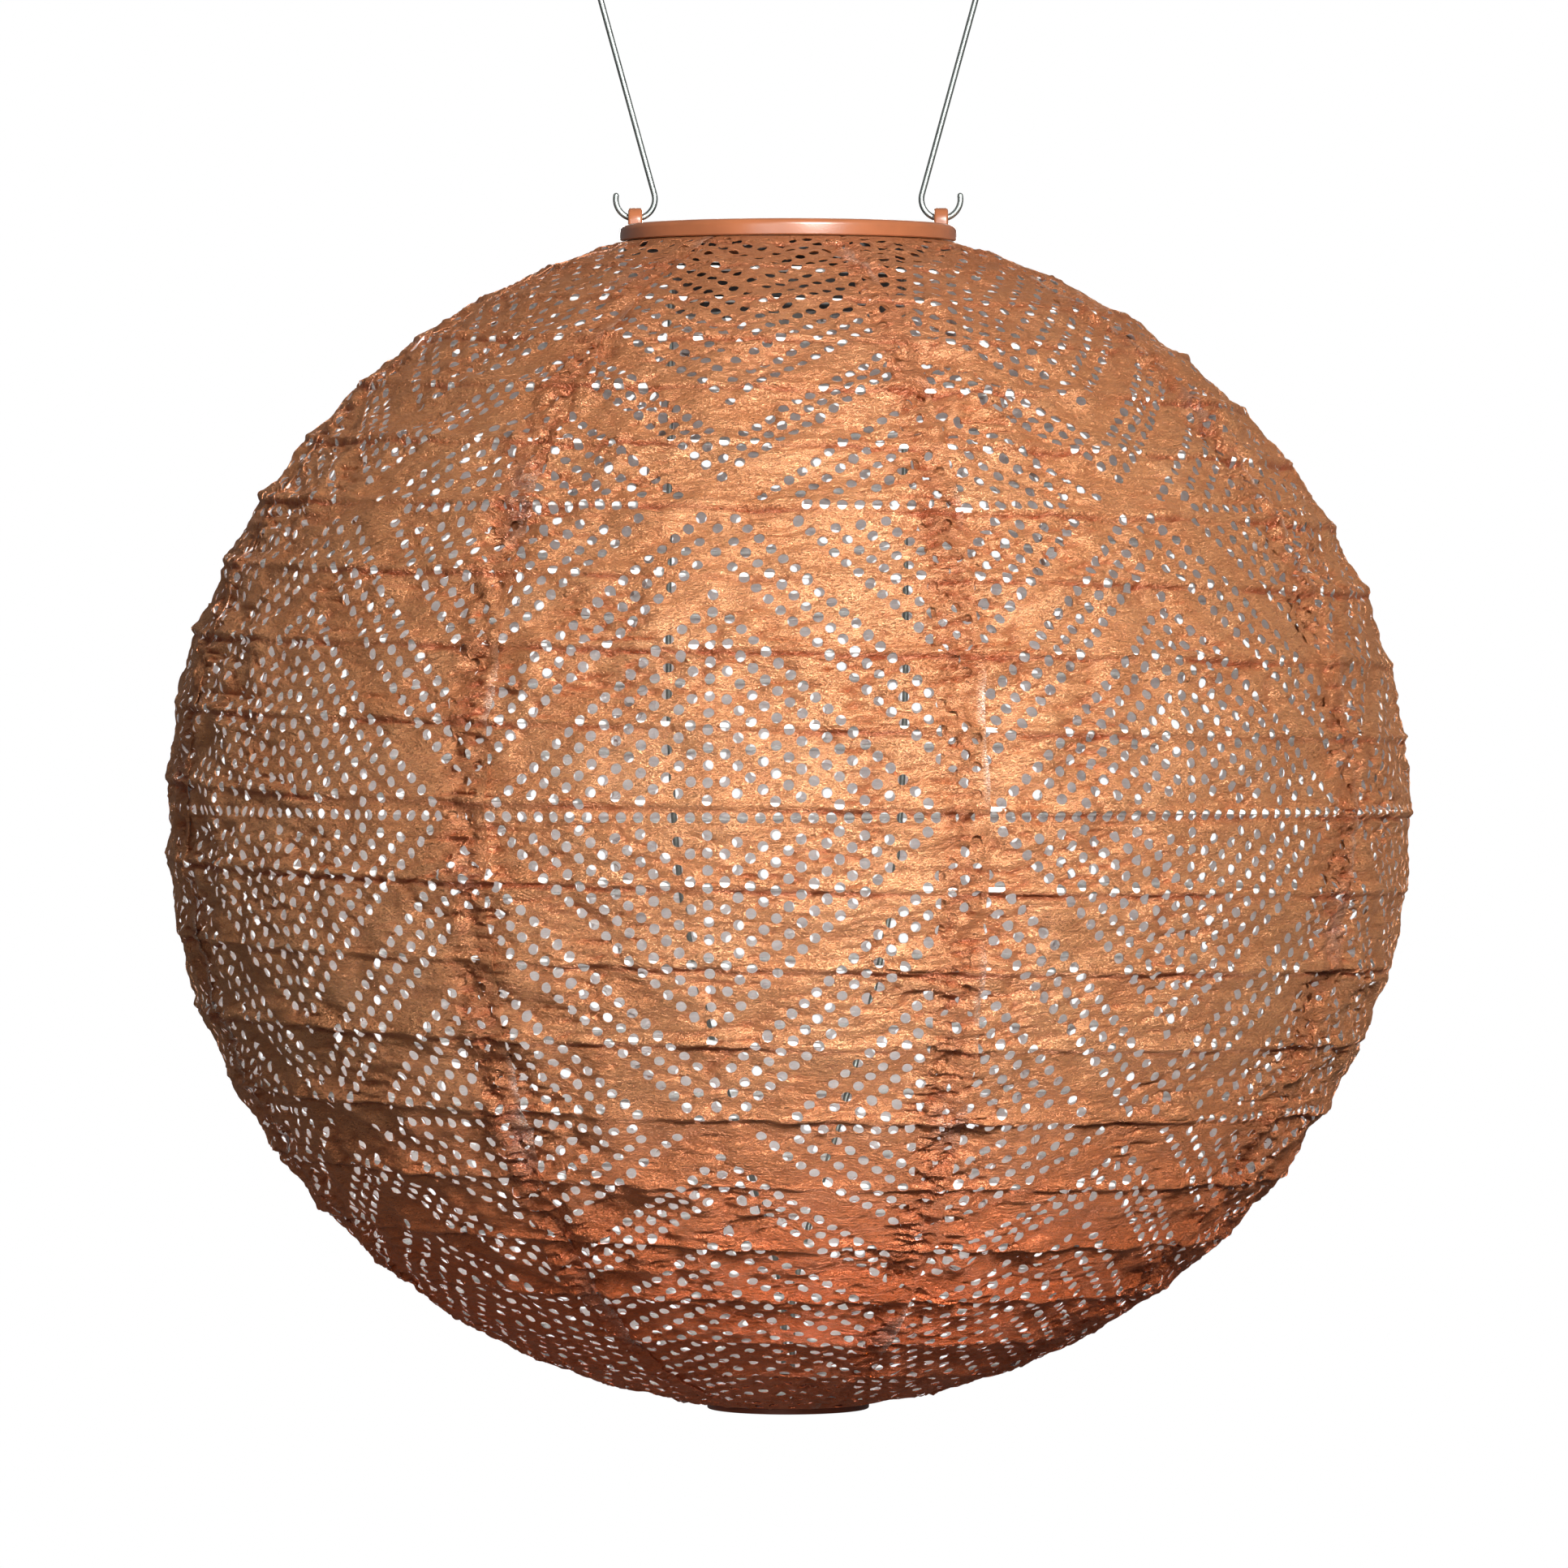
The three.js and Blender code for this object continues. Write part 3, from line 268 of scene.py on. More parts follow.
def drawn_wire(name: str, path: np.ndarray, diameter: float, sides: int = 12) -> bpy.types.Object:
    """A round wire along a path, with domed ends.

    A point is path + radius (cos a * u + sin a * v), where u and v stay square to the path's direction: u is
    the last u with its part along the new direction taken out. At the ends the radius falls as the cosine of
    an angle while the ring moves on by its sine.

    Args:
        name: the piece's name.
        path: k by 3 points of the centre line.
        diameter: the wire's.
        sides: facets round it.

    Returns:
        The closed wire.
    """
    radius = diameter / 2
    along = np.gradient(path, axis=0)
    along /= np.linalg.norm(along, axis=1, keepdims=True)
    dome = np.radians([90, 65, 40, 18])
    head = path[0] - along[0] * (radius * np.sin(dome))[:, None]
    tail = path[-1] + along[-1] * (radius * np.sin(dome[::-1]))[:, None]
    centre = np.concatenate([head, path, tail])
    width = np.concatenate([np.cos(dome), np.ones(len(path)), np.cos(dome[::-1])]) * radius
    ends = [np.repeat(end, len(dome), axis=0) for end in (along[:1], along[-1:])]
    heading = np.concatenate([ends[0], along, ends[1]])
    start = np.array([0.0, 0.0, 1.0]) if abs(heading[0][2]) < 0.9 else np.array([0.0, 1.0, 0.0])
    square = np.empty_like(heading)
    for i, direction in enumerate(heading):
        start = start - direction * np.dot(start, direction)
        start /= np.linalg.norm(start)
        square[i] = start
    other = np.cross(heading, square)
    angle = np.linspace(0, 2 * np.pi, sides, endpoint=False)[None, :, None]
    ring = np.cos(angle) * square[:, None] + np.sin(angle) * other[:, None]
    points = centre[:, None] + width[:, None, None] * ring
    return weld(put_mesh(name, points.reshape(-1, 3), grid_faces(len(centre), sides, False, True)), 60)


def arc(centre: tuple[float, float], radius: float, start: float, end: float, steps: int) -> np.ndarray:
    """Points of an arc in the XZ plane: centre + radius (cos a, sin a), a from start to end in radians.

    Args:
        centre: x and z of the middle.
        radius: of the arc.
        start: the first angle.
        end: the last angle.
        steps: straight steps between them.

    Returns:
        steps + 1 by 3 points.
    """
    angle = np.linspace(start, end, steps + 1)
    return np.column_stack(
        [centre[0] + radius * np.cos(angle), np.zeros_like(angle), centre[1] + radius * np.sin(angle)]
    )


def smooth_path(knots: np.ndarray, steps: int) -> np.ndarray:
    """A curve through knots, with steps points to a span.

    Each span is a cubic whose slope at a knot is half the way between that knot's two neighbours.

    Args:
        knots: n by 3 points to pass through.
        steps: points to a span.

    Returns:
        The curve's points.
    """
    padded = np.concatenate([2 * knots[:1] - knots[1:2], knots, 2 * knots[-1:] - knots[-2:-1]])
    before, here, ahead, after = padded[:-3, None], padded[1:-2, None], padded[2:-1, None], padded[3:, None]
    t = np.linspace(0, 1, steps, endpoint=False)[None, :, None]
    curve = 0.5 * (
        2 * here
        + (ahead - before) * t
        + (2 * before - 5 * here + 4 * ahead - after) * t**2
        + (3 * here - before - 3 * ahead + after) * t**3
    )
    return np.concatenate([curve.reshape(-1, 3), knots[-1:]])


def spun(points: np.ndarray, degrees: float) -> np.ndarray:
    """The points turned about Z."""
    c, s = math.cos(math.radians(degrees)), math.sin(math.radians(degrees))
    return points @ np.array([[c, s, 0], [-s, c, 0], [0, 0, 1]])


def joined(body: bpy.types.Object, steps: list[tuple[Join, bpy.types.Object]]) -> bpy.types.Object:
    """One closed solid of a body with other solids added to it or cut from it, in order.

    Args:
        body: the first solid, which is changed.
        steps: each other solid and how it meets the body; they are used up.

    Returns:
        The body.
    """
    for join, tool in steps:
        change = body.modifiers.new(tool.name, "BOOLEAN")
        change.operation = join.value
        change.solver = "EXACT"
        change.object = tool
    bpy.context.view_layer.update()
    result = bpy.data.meshes.new_from_object(body.evaluated_get(bpy.context.evaluated_depsgraph_get()))
    body.modifiers.clear()
    body.data = result
    for _, tool in steps:
        bpy.data.objects.remove(tool)
    return weld(body)


# ------------------------------------------------------------------ finishes


class NodePen:
    """Draws the node tree of one finish."""

    def __init__(self, name: str) -> None:
        """Starts a material with one shader on its output."""
        self.material = bpy.data.materials.new(name)
        self.material.use_nodes = True
        self.tree = self.material.node_tree
        self.tree.nodes.clear()
        output = self.tree.nodes.new("ShaderNodeOutputMaterial")
        self.shader = self.tree.nodes.new("ShaderNodeBsdfPrincipled")
        self.tree.links.new(self.shader.outputs[0], output.inputs["Surface"])

    def add(self, kind: str, inputs: dict, **settings: object) -> bpy.types.Node:
        """Adds a node. An input is a value, or another node's output to link.

        Args:
            kind: the node's type, without its first word.
            inputs: values or links, by socket name or number.
            settings: the node's own settings.

        Returns:
            The node.
        """
        node = self.tree.nodes.new("ShaderNode" + kind)
        for name, value in settings.items():
            setattr(node, name, value)
        for key, value in inputs.items():
            if isinstance(value, bpy.types.NodeSocket):
                self.tree.links.new(value, node.inputs[key])
            else:
                node.inputs[key].default_value = value
        return node

    def place(self, scale: Triple) -> bpy.types.NodeSocket:
        """Object coordinates, scaled."""
        source = self.add("TexCoord", {}).outputs["Object"]
        return self.add("Mapping", {"Vector": source, "Scale": scale}).outputs[0]

    def flat(self, scale: Triple) -> bpy.types.NodeSocket:
        """The sheet's own flat coordinates, scaled."""
        source = self.add("UVMap", {}, uv_map=FLAT_MAP).outputs[0]
        return self.add("Mapping", {"Vector": source, "Scale": scale}).outputs[0]

    def attribute(self, name: str) -> bpy.types.NodeSocket:
        """A number kept on the mesh's points."""
        return self.add("Attribute", {}, attribute_name=name).outputs["Fac"]

    def noise(self, vector: bpy.types.NodeSocket, detail: float = 3) -> bpy.types.NodeSocket:
        """Cloudy noise from 0 to 1, with cells one unit wide."""
        inputs = {"Vector": vector, "Scale": 1.0, "Detail": detail, "Roughness": 0.6}
        return self.add("TexNoise", inputs).outputs[0]

    def math(self, operation: str, a: object, b: object = 0.0) -> bpy.types.NodeSocket:
        """One sum on two values."""
        return self.add("Math", {0: a, 1: b}, operation=operation).outputs[0]

    def ridge(self, noise: bpy.types.NodeSocket) -> bpy.types.NodeSocket:
        """How far a noise is from its middle: 0 along sharp lines."""
        return self.math("ABSOLUTE", self.math("SUBTRACT", noise, 0.5))

    def span(
        self, value: object, low: float, high: float, to: tuple[float, float] = (0.0, 1.0)
    ) -> bpy.types.NodeSocket:
        """A value's range mapped to another one, and held inside it."""
        inputs = {0: value, 1: low, 2: high, 3: to[0], 4: to[1]}
        return self.add("MapRange", inputs).outputs[0]

    def blend(self, share: object, a: object, b: object) -> bpy.types.NodeSocket:
        """A colour between a and b.

        Args:
            share: 0 for a, 1 for b, or a link.
            a: the first colour.
            b: the second colour.

        Returns:
            The mixed colour's socket.
        """
        node = self.add("Mix", {0: share}, data_type="RGBA")
        for number, value in ((6, a), (7, b)):
            if isinstance(value, bpy.types.NodeSocket):
                self.tree.links.new(value, node.inputs[number])
            else:
                node.inputs[number].default_value = (*value, 1.0)
        return node.outputs[2]

    def relief(self, height: object, depth: float, under: object = None) -> bpy.types.NodeSocket:
        """A bump of some depth in metres, on top of another one.

        Args:
            height: the link that gives the height, from 0 to 1.
            depth: metres for a height of 1.
            under: the bump that this one lies on.

        Returns:
            The bump's normal.
        """
        inputs = {"Height": height, "Distance": depth, "Strength": 1.0}
        if under is not None:
            inputs["Normal"] = under
        return self.add("Bump", inputs).outputs[0]

    def set(self, **inputs: object) -> bpy.types.Material:
        """Sets the shader's sockets, named with _ for a space, and gives the material.

        Args:
            inputs: values or links, by socket name.

        Returns:
            The material.
        """
        for key, value in inputs.items():
            socket = self.shader.inputs[key.replace("_", " ")]
            if isinstance(value, bpy.types.NodeSocket):
                self.tree.links.new(value, socket)
            else:
                socket.default_value = (*value, 1.0) if isinstance(value, tuple) else value
        return self.material


@dataclass(frozen=True)
class CopperSheet:
    """The shade's outside: a copper-coloured metallic coat on crinkled non-woven sheet."""

    light: Triple = (0.74, 0.325, 0.135)
    dark: Triple = (0.66, 0.250, 0.088)
    # Painted shade: a deeper, darker red laid on toward the base.
    base_shade_colour: Triple = (0.86, 0.125, 0.008)
    # Painted shade: the dark colour laid into folds, crepe lines, seams and the top.
    crease_shade: Triple = (0.36, 0.058, 0.008)
    bare: Triple = (0.86, 0.80, 0.74)
    sheen: Triple = (1.0, 0.82, 0.66)
    crepe: Triple = (110, 420, 1)
    crepe_depth: float = 12.0 * MM
    crackle: Triple = (420, 900, 1)
    crackle_depth: float = 3.0 * MM
    fibre: Triple = (1400, 3600, 1)
    fibre_depth: float = 0.2 * MM
    cloud: Triple = (30, 55, 1)
    # Painted shade along the crepe's wrinkle lines: how wide, and how dark.
    crepe_shade_width: float = 0.025
    crepe_shade_strength: float = 0.6
    roughness: tuple[float, float] = (0.36, 0.44)
    metal: float = 0.5
    gloss: float = 1.95

    def material(self) -> bpy.types.Material:
        """Cloudy colour, pale where worn, with painted shade: darker in the folds, crepe lines, seams and top,
        and a deeper red toward the base; over crepe, fibres and creases.

        Returns:
            The material.
        """
        pen = NodePen("copper_sheet")
        crepe = pen.ridge(pen.noise(pen.flat(self.crepe), 5))
        crackle = pen.ridge(pen.noise(pen.flat(self.crackle), 3))
        fibre = pen.noise(pen.flat(self.fibre), 2)
        cloud = pen.noise(pen.flat(self.cloud), 4)
        colour = pen.blend(pen.span(cloud, 0.35, 0.65), self.light, self.dark)
        # Painted shade: a deeper red toward the base.
        colour = pen.blend(pen.attribute(PAINTED_BASE_SHADE), colour, self.base_shade_colour)
        # Painted shade: darker along the crepe's wrinkle lines, and where the mesh marks folds, seams and top.
        lines = pen.span(crepe, 0.0, self.crepe_shade_width, (self.crepe_shade_strength, 0.0))
        colour = pen.blend(pen.math("MAXIMUM", lines, pen.attribute(FOLD_AND_TOP_SHADE)), colour, self.crease_shade)
        scuffed = pen.math("MULTIPLY", pen.attribute(WORN), pen.span(fibre, 0.42, 0.6))
        colour = pen.blend(scuffed, colour, self.bare)
        bump = pen.relief(crepe, self.crepe_depth)
        bump = pen.relief(crackle, self.crackle_depth, bump)
        bump = pen.relief(fibre, self.fibre_depth, bump)
        return pen.set(
            Base_Color=colour, Roughness=pen.span(cloud, 0.3, 0.7, self.roughness), Normal=bump,
            Metallic=self.metal, IOR=self.gloss, Specular_IOR_Level=1.0, Specular_Tint=self.sheen,
        )


@dataclass(frozen=True)
class WhiteLining:
    """The shade's inside and its cut edges: bare white non-woven sheet."""

    colour: Triple = (0.86, 0.82, 0.81)
    shade: Triple = (0.76, 0.68, 0.66)
    # Painted light: a faint glow on the inside for the daylight through the sheet.
    painted_daylight: Triple = (1.0, 0.93, 0.92)
    glow: float = 0.02
    fibre: Triple = (500, 1800, 1)
    fibre_depth: float = 0.15 * MM

    def material(self) -> bpy.types.Material:
        """Matt white with short fibres, and a faint painted glow standing in for the daylight that comes
        through the thin sheet.

        Returns:
            The material.
        """
        pen = NodePen("white_lining")
        fibre = pen.noise(pen.flat(self.fibre), 3)
        colour = pen.blend(pen.span(fibre, 0.3, 0.7), self.shade, self.colour)
        return pen.set(
            Base_Color=colour, Roughness=0.85, Normal=pen.relief(fibre, self.fibre_depth),
            Emission_Color=self.painted_daylight, Emission_Strength=self.glow,
        )


@dataclass(frozen=True)
class MouldedPlastic:
    """A moulded plastic with a fine texture and faint flow clouds."""

    name: str
    colour: Triple
    roughness: float = 0.4
    grain: float = 1600.0
    depth: float = 0.03 * MM
    coat: float = 0.0
    flow: Triple = (45.0, 45.0, 90.0)
    shaded: float = 0.78

    def material(self) -> bpy.types.Material:
        """Fine grain in the bump, clouds in the colour and the roughness.

        Returns:
            The material.
        """
        pen = NodePen(self.name)
        grain = pen.noise(pen.place((self.grain,) * 3), 2)
        cloud = pen.noise(pen.place(self.flow), 3)
        darker = tuple(part * self.shaded for part in self.colour)
        colour = pen.blend(pen.span(cloud, 0.35, 0.65), self.colour, darker)
        rough = pen.span(cloud, 0.3, 0.7, (self.roughness - 0.05, self.roughness + 0.07))
        return pen.set(
            Base_Color=colour, Roughness=rough, Normal=pen.relief(grain, self.depth), Coat_Weight=self.coat,
            Coat_Roughness=0.25,
        )


@dataclass(frozen=True)
class DrawnMetal:
    """Wire or stamped metal, with fine dull specks or spangle."""

    name: str
    colour: Triple
    roughness: float
    metallic: float = 1.0
    speck: float = 700.0
    dull: float = 60.0
    depth: float = 0.008 * MM
    shaded: float = 0.6

    def material(self) -> bpy.types.Material:
        """Specks in the colour and the roughness, and a very shallow bump.

        Returns:
            The material.
        """
        pen = NodePen(self.name)
        speck = pen.noise(pen.place((self.speck,) * 3), 3)
        dull = pen.noise(pen.place((self.dull,) * 3), 3)
        darker = tuple(part * self.shaded for part in self.colour)
        colour = pen.blend(pen.span(speck, 0.35, 0.7, (0.0, 0.45)), self.colour, darker)
        rough = pen.span(dull, 0.3, 0.7, (self.roughness - 0.06, self.roughness + 0.1))
        return pen.set(
            Base_Color=colour, Roughness=rough, Normal=pen.relief(speck, self.depth), Metallic=self.metallic
        )


@dataclass(frozen=True)
class SolarCells:
    """Dark blue silicon strips with fine metal lines under clear resin."""

    silicon: Triple = (0.010, 0.018, 0.055)
    violet: Triple = (0.022, 0.020, 0.075)
    line: Triple = (0.42, 0.44, 0.46)
    gap: Triple = (0.004, 0.005, 0.008)
    crystal: Triple = (220.0, 160.0, 1.0)
    hair_pitch: float = 1.6 * MM
    hair_width: float = 0.12 * MM
    busbar_pitch: float = 6.3 * MM
    busbar_width: float = 0.5 * MM
    strip_pitch: float = 13.0 * MM
    strip_gap: float = 0.9 * MM

    def stripes(self, pen: NodePen, axis: str, pitch: float, width: float) -> bpy.types.NodeSocket:
        """1 on lines of some width, a pitch apart along one axis, centred on the panel.

        Args:
            pen: draws the nodes.
            axis: the axis that the lines are spaced along.
            pitch: from one line to the next.
            width: of a line.

        Returns:
            A socket that is 1 on a line and 0 elsewhere.
        """
        place = pen.add("SeparateXYZ", {"Vector": pen.place((1.0, 1.0, 1.0))}).outputs[axis]
        share = pen.math("FRACT", pen.math("ADD", pen.math("DIVIDE", place, pitch), 100.5))
        away = pen.math("MULTIPLY", pen.ridge(share), pitch)
        return pen.math("LESS_THAN", away, width / 2)

    def material(self) -> bpy.types.Material:
        """Four strips of cells, each with two thick lines and many hair lines.

        Returns:
            The material.
        """
        pen = NodePen("solar_panel")
        crystal = pen.noise(pen.place(self.crystal), 2)
        colour = pen.blend(pen.span(crystal, 0.4, 0.6), self.silicon, self.violet)
        hair = self.stripes(pen, "Y", self.hair_pitch, self.hair_width)
        busbar = self.stripes(pen, "X", self.busbar_pitch, self.busbar_width)
        between = self.stripes(pen, "Y", self.strip_pitch, self.strip_gap)
        colour = pen.blend(pen.math("MULTIPLY", hair, 0.55), colour, self.line)
        colour = pen.blend(busbar, colour, self.line)
        colour = pen.blend(between, colour, self.gap)
        return pen.set(Base_Color=colour, Roughness=0.3, Coat_Weight=0.8, Coat_Roughness=0.08)


@dataclass(frozen=True)
class ClearMoulding:
    """A clear or frosted moulding that lets light through."""

    name: str
    colour: Triple
    roughness: float
    clear: float
    cloud: float = 300.0

    def material(self) -> bpy.types.Material:
        """Transmission with a faint cloud in the roughness.

        Returns:
            The material.
        """
        pen = NodePen(self.name)
        cloud = pen.noise(pen.place((self.cloud,) * 3), 2)
        rough = pen.span(cloud, 0.3, 0.7, (self.roughness * 0.85, self.roughness * 1.15))
        return pen.set(Base_Color=self.colour, Roughness=rough, Transmission_Weight=self.clear, IOR=1.46)


def dress(piece: bpy.types.Object, *materials: bpy.types.Material) -> None:
    """Gives a piece its materials.

    Args:
        piece: the object.
        materials: one for each of its material slots, in order.
    """
    piece.data.materials.clear()
    for material in materials:
        piece.data.materials.append(material)


def register(piece: bpy.types.Object, body: Body, slot: str, *nodes: str) -> bpy.types.Object:
    """Says what a finished piece rides on and hides the nodes it stands for, and logs it.

    Args:
        piece: the finished piece.
        body: what it rides on.
        slot: not used.
        nodes: the nodes that it stands for.

    Returns:
        The piece.
    """
    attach(piece, body.value)
    if nodes:
        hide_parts(*nodes)
    log.info("%s: %d faces, on %s", piece.name, len(piece.data.polygons), body.value)
    return piece


# ------------------------------------------------------------------ the shade


@dataclass(frozen=True)
class Globe:
    """The globe's ellipse and the height of its equator."""

    radius: float = 210 * MM
    upper: float = 199.5 * MM
    lower: float = 201.5 * MM
    neck: float = 56.2 * MM
    base: float = 28 * MM
    samples: int = 2001

    @property
    def neck_angle(self) -> float:
        """The ellipse's angle at the neck, in degrees."""
        return math.degrees(math.acos(self.neck / self.radius))

    @property
    def base_angle(self) -> float:
        """The ellipse's angle at the base, in degrees."""
        return -math.degrees(math.acos(self.base / self.radius))

    @property
    def equator(self) -> float:
        """The equator's height, a neck's height under the gores' top."""
        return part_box("shade_gore_1")[1][2] - self.upper * math.sin(math.radians(self.neck_angle))

    def profile(self, angle: np.ndarray) -> tuple[np.ndarray, np.ndarray, np.ndarray, np.ndarray]:
        """Radius a cos t, height b sin t, and the outward normal (cos t / a, sin t / b) made one long.

        Args:
            angle: the ellipse's angle t, in degrees up from the equator.

        Returns:
            Radius, height over the equator, and the two parts of the normal, outwards and upwards.
        """
        half = np.where(angle >= 0, self.upper, self.lower)
        c, s = np.cos(np.radians(angle)), np.sin(np.radians(angle))
        length = np.hypot(c / self.radius, s / half)
        return self.radius * c, half * s, c / self.radius / length, s / half / length

    def arc_table(self) -> tuple[np.ndarray, np.ndarray]:
        """Angles from base to neck, and the way along the surface from the equator at each.

        Returns:
            The angles, and the way at each.
        """
        angle = np.linspace(self.base_angle, self.neck_angle, self.samples)
        radius, height, _, _ = self.profile(angle)
        way = np.concatenate([[0.0], np.cumsum(np.hypot(np.diff(radius), np.diff(height)))])
        return angle, way - np.interp(0.0, angle, way)


@dataclass(frozen=True)
class Spiral:
    """The rib's path: the ellipse's angle after u turns up from the front is start + pitch u - creep u^2."""

    start: float = 1.8
    pitch: float = 7.3
    creep: float = 0.024
    stop_top: float = 4.0
    stop_base: float = 3.1

    def angle(self, turns: np.ndarray) -> np.ndarray:
        """The ellipse's angle, in degrees, after a number of turns."""
        return self.start + self.pitch * turns - self.creep * turns**2

    def turns(self, angle: np.ndarray) -> np.ndarray:
        """The number of turns at an angle: the smaller root of the rib's equation."""
        root = np.sqrt(self.pitch**2 - 4 * self.creep * (angle - self.start))
        return (self.pitch - root) / (2 * self.creep)


@dataclass(frozen=True)
class Ripple:
    """Gradient noise on the globe's skin, with whole cells round it so that it closes.

    Each lattice corner has a random direction. The value is the smooth blend of the four corners' dot
    products with the way to the point.
    """

    seed: int
    width: float
    height: float
    rows: int = 331

    def at(self, azimuth: np.ndarray, way: np.ndarray) -> np.ndarray:
        """The noise, about -0.7 to 0.7, at an azimuth in degrees and a way along the surface.

        Args:
            azimuth: degrees from the front.
            way: metres along the surface from the equator.

        Returns:
            The noise at each point.
        """
        around = max(4, round(2 * math.pi * Globe.radius / self.width))
        direction = np.random.default_rng(self.seed).uniform(0, 2 * np.pi, (around, self.rows))
        x, y = azimuth / 360 * around, way / self.height
        x0, y0 = np.floor(x).astype(int), np.floor(y).astype(int)
        fx, fy = x - x0, y - y0

        def corner(dx: int, dy: int) -> np.ndarray:
            """One lattice corner's dot product."""
            angle = direction[(x0 + dx) % around, (y0 + dy) % self.rows]
            return np.cos(angle) * (fx - dx) + np.sin(angle) * (fy - dy)

        sx, sy = fx**3 * (fx * (fx * 6 - 15) + 10), fy**3 * (fy * (fy * 6 - 15) + 10)
        low = corner(0, 0) * (1 - sx) + corner(1, 0) * sx
        high = corner(0, 1) * (1 - sx) + corner(1, 1) * sx
        return low * (1 - sy) + high * sy


def bell(value: np.ndarray, width: float) -> np.ndarray:
    """exp(-(value / width)^2)."""
    return np.exp(-((value / width) ** 2))


def ridge(value: np.ndarray, width: float) -> np.ndarray:
    """1 on a noise's zero lines and falling away to 0 within a width of them."""
    return np.clip(1 - np.abs(value) / width, 0, 1) ** 2


def eased(share: np.ndarray) -> np.ndarray:
    """A smooth step, 3 s^2 - 2 s^3, of a share held from 0 to 1."""
    share = np.clip(share, 0, 1)
    return share * share * (3 - 2 * share)


@dataclass(frozen=True)
class Fold:
    """The size of one kind of fold, and what is added off the equator, on a seam and beside one."""

    plain: float
    steep: float = 0.0
    seam: float = 0.0
    pull: float = 0.0

    def at(self, slope: np.ndarray, seam: np.ndarray, pull: np.ndarray) -> np.ndarray:
        """The plain size and the three additions, each times how far its cause holds there."""
        return self.plain + self.steep * slope + self.seam * seam + self.pull * pull


@dataclass(frozen=True)
class Wrinkles:
    """How the sheet sags, folds and creases between the ribs."""

    bow: Fold = Fold(0.9 * MM, steep=0.8 * MM)
    drape: Fold = Fold(1.3 * MM, 0.5 * MM, 1.6 * MM, 1.9 * MM)
    slant: Fold = Fold(2.0 * MM, steep=0.3 * MM, pull=2.2 * MM)
    strength: Fold = Fold(0.6, seam=1.0, pull=0.9)
    rib: float = 0.5 * MM
    rib_width: float = 1.9 * MM
    pinch: float = 0.9 * MM
    pinch_width: float = 0.8 * MM
    pinch_below: float = 2.0 * MM
    pinch_wander: float = 0.9 * MM
    hang: float = 7 * MM
    pleat: float = 1.35 * MM
    line: float = 0.15
    crepe: float = 0.85 * MM
    crush: float = 2.6 * MM
    seam_width: float = 8.5 * MM
    pull_reach: float = 24 * MM
    rib_clearance: float = 0.3 * MM
    free_depth: float = 7 * MM
    free_beyond: float = 2.4 * MM
    calm_top: float = 7 * MM
    calm_base: float = 9 * MM


@dataclass(frozen=True)
class Punching:
    """The sheet's punched holes: a large diamond at a gore's middle and nested V's above and below it.

    With w the way from the gore's middle line and v the way from the diamond's middle, the diamond's rows are
    the lines where slope w + v is a whole number of row pitches, with two rows left out as plain bands. Past
    the diamond's points the rows are the lines where v - cap_slope w is one of the cap's rows: four side
    rows, a bundle of three, and an open field of them that runs to the gore's end.
    """

    diameter: float = 3.55 * MM
    sides: int = 12
    row: float = 8.85 * MM
    slope: float = 0.93
    column: float = 4.03 * MM
    first: float = 1.45 * MM
    half: float = 104.5 * MM
    plain: tuple[int, ...] = (9, 13)
    cap_slope: float = 0.86
    side_row: float = 9.5 * MM
    side_last: float = -8 * MM
    bundle_row: float = 6.6 * MM
    bundle_first: float = 11.5 * MM
    field_row: float = 9.9 * MM
    field_first: float = 43.5 * MM
    along: float = 5.55 * MM
    across: float = 5.6 * MM
    lift: float = 2.5 * MM
    closest: float = 4.5 * MM
    row_shift: float = 1.2 * MM
    side_rows: int = 8
    bundle_rows: int = 3
    field_rows: int = 17
    line_holes: int = 16
    column_holes: int = 13
    side_from: int = 4
    columns: int = 24

    def rows_at(self, column: int) -> np.ndarray:
        """The ways v of one column's holes, from the diamond's middle to the gore's end.

        Args:
            column: the column's number, 0 on the gore's middle line.

        Returns:
            The ways, all above the middle.
        """
        reach = self.first + self.column * column if column else 0.0
        row = np.array([k for k in range(1, 40) if k not in self.plain])
        inner = self.row * row - self.row_shift - self.slope * reach
        inner = inner[(inner > 0.45 * self.row) & (inner < self.half - 0.3 * self.row)]
        side = self.side_last - self.side_row * np.arange(self.side_rows)
        bundle = self.bundle_first + self.bundle_row * np.arange(self.bundle_rows)
        spread = self.field_first + self.field_row * np.arange(self.field_rows)
        cap = self.half + np.concatenate([side, bundle, spread]) + self.cap_slope * reach
        return np.concatenate([inner, cap[cap > self.half + 0.4 * self.row]])

    def centres(self) -> np.ndarray:
        """The holes' centres in the flat sheet, straight rows first, with crowded ones left out.

        Returns:
            n by 2 places, across and along.
        """
        line = np.arange(-self.line_holes, self.line_holes + 1) * self.across
        straight = [np.column_stack([line, np.zeros_like(line)])]
        column = np.arange(-self.column_holes, self.column_holes + 1) * self.along
        straight.append(np.column_stack([np.zeros_like(column), column]))
        bare = self.side_from * self.across
        side = np.concatenate([line[line < -bare], line[line > bare]])
        slanted = []
        for up in (1, -1):
            straight.append(np.column_stack([side, np.full_like(side, up * self.half)]))
            for number in range(self.columns):
                reach = self.first + self.column * number if number else 0.0
                way = self.rows_at(number) * up
                slanted += [np.column_stack([np.full_like(way, reach * hand), way]) for hand in (1, -1)]
        kept = np.empty((0, 2))
        for group in straight + slanted:
            gap = np.linalg.norm(group[:, None] - kept[None], axis=2).min(axis=1, initial=1.0)
            kept = np.concatenate([kept, group[gap > self.closest]])
        return kept + np.array([0.0, self.lift])


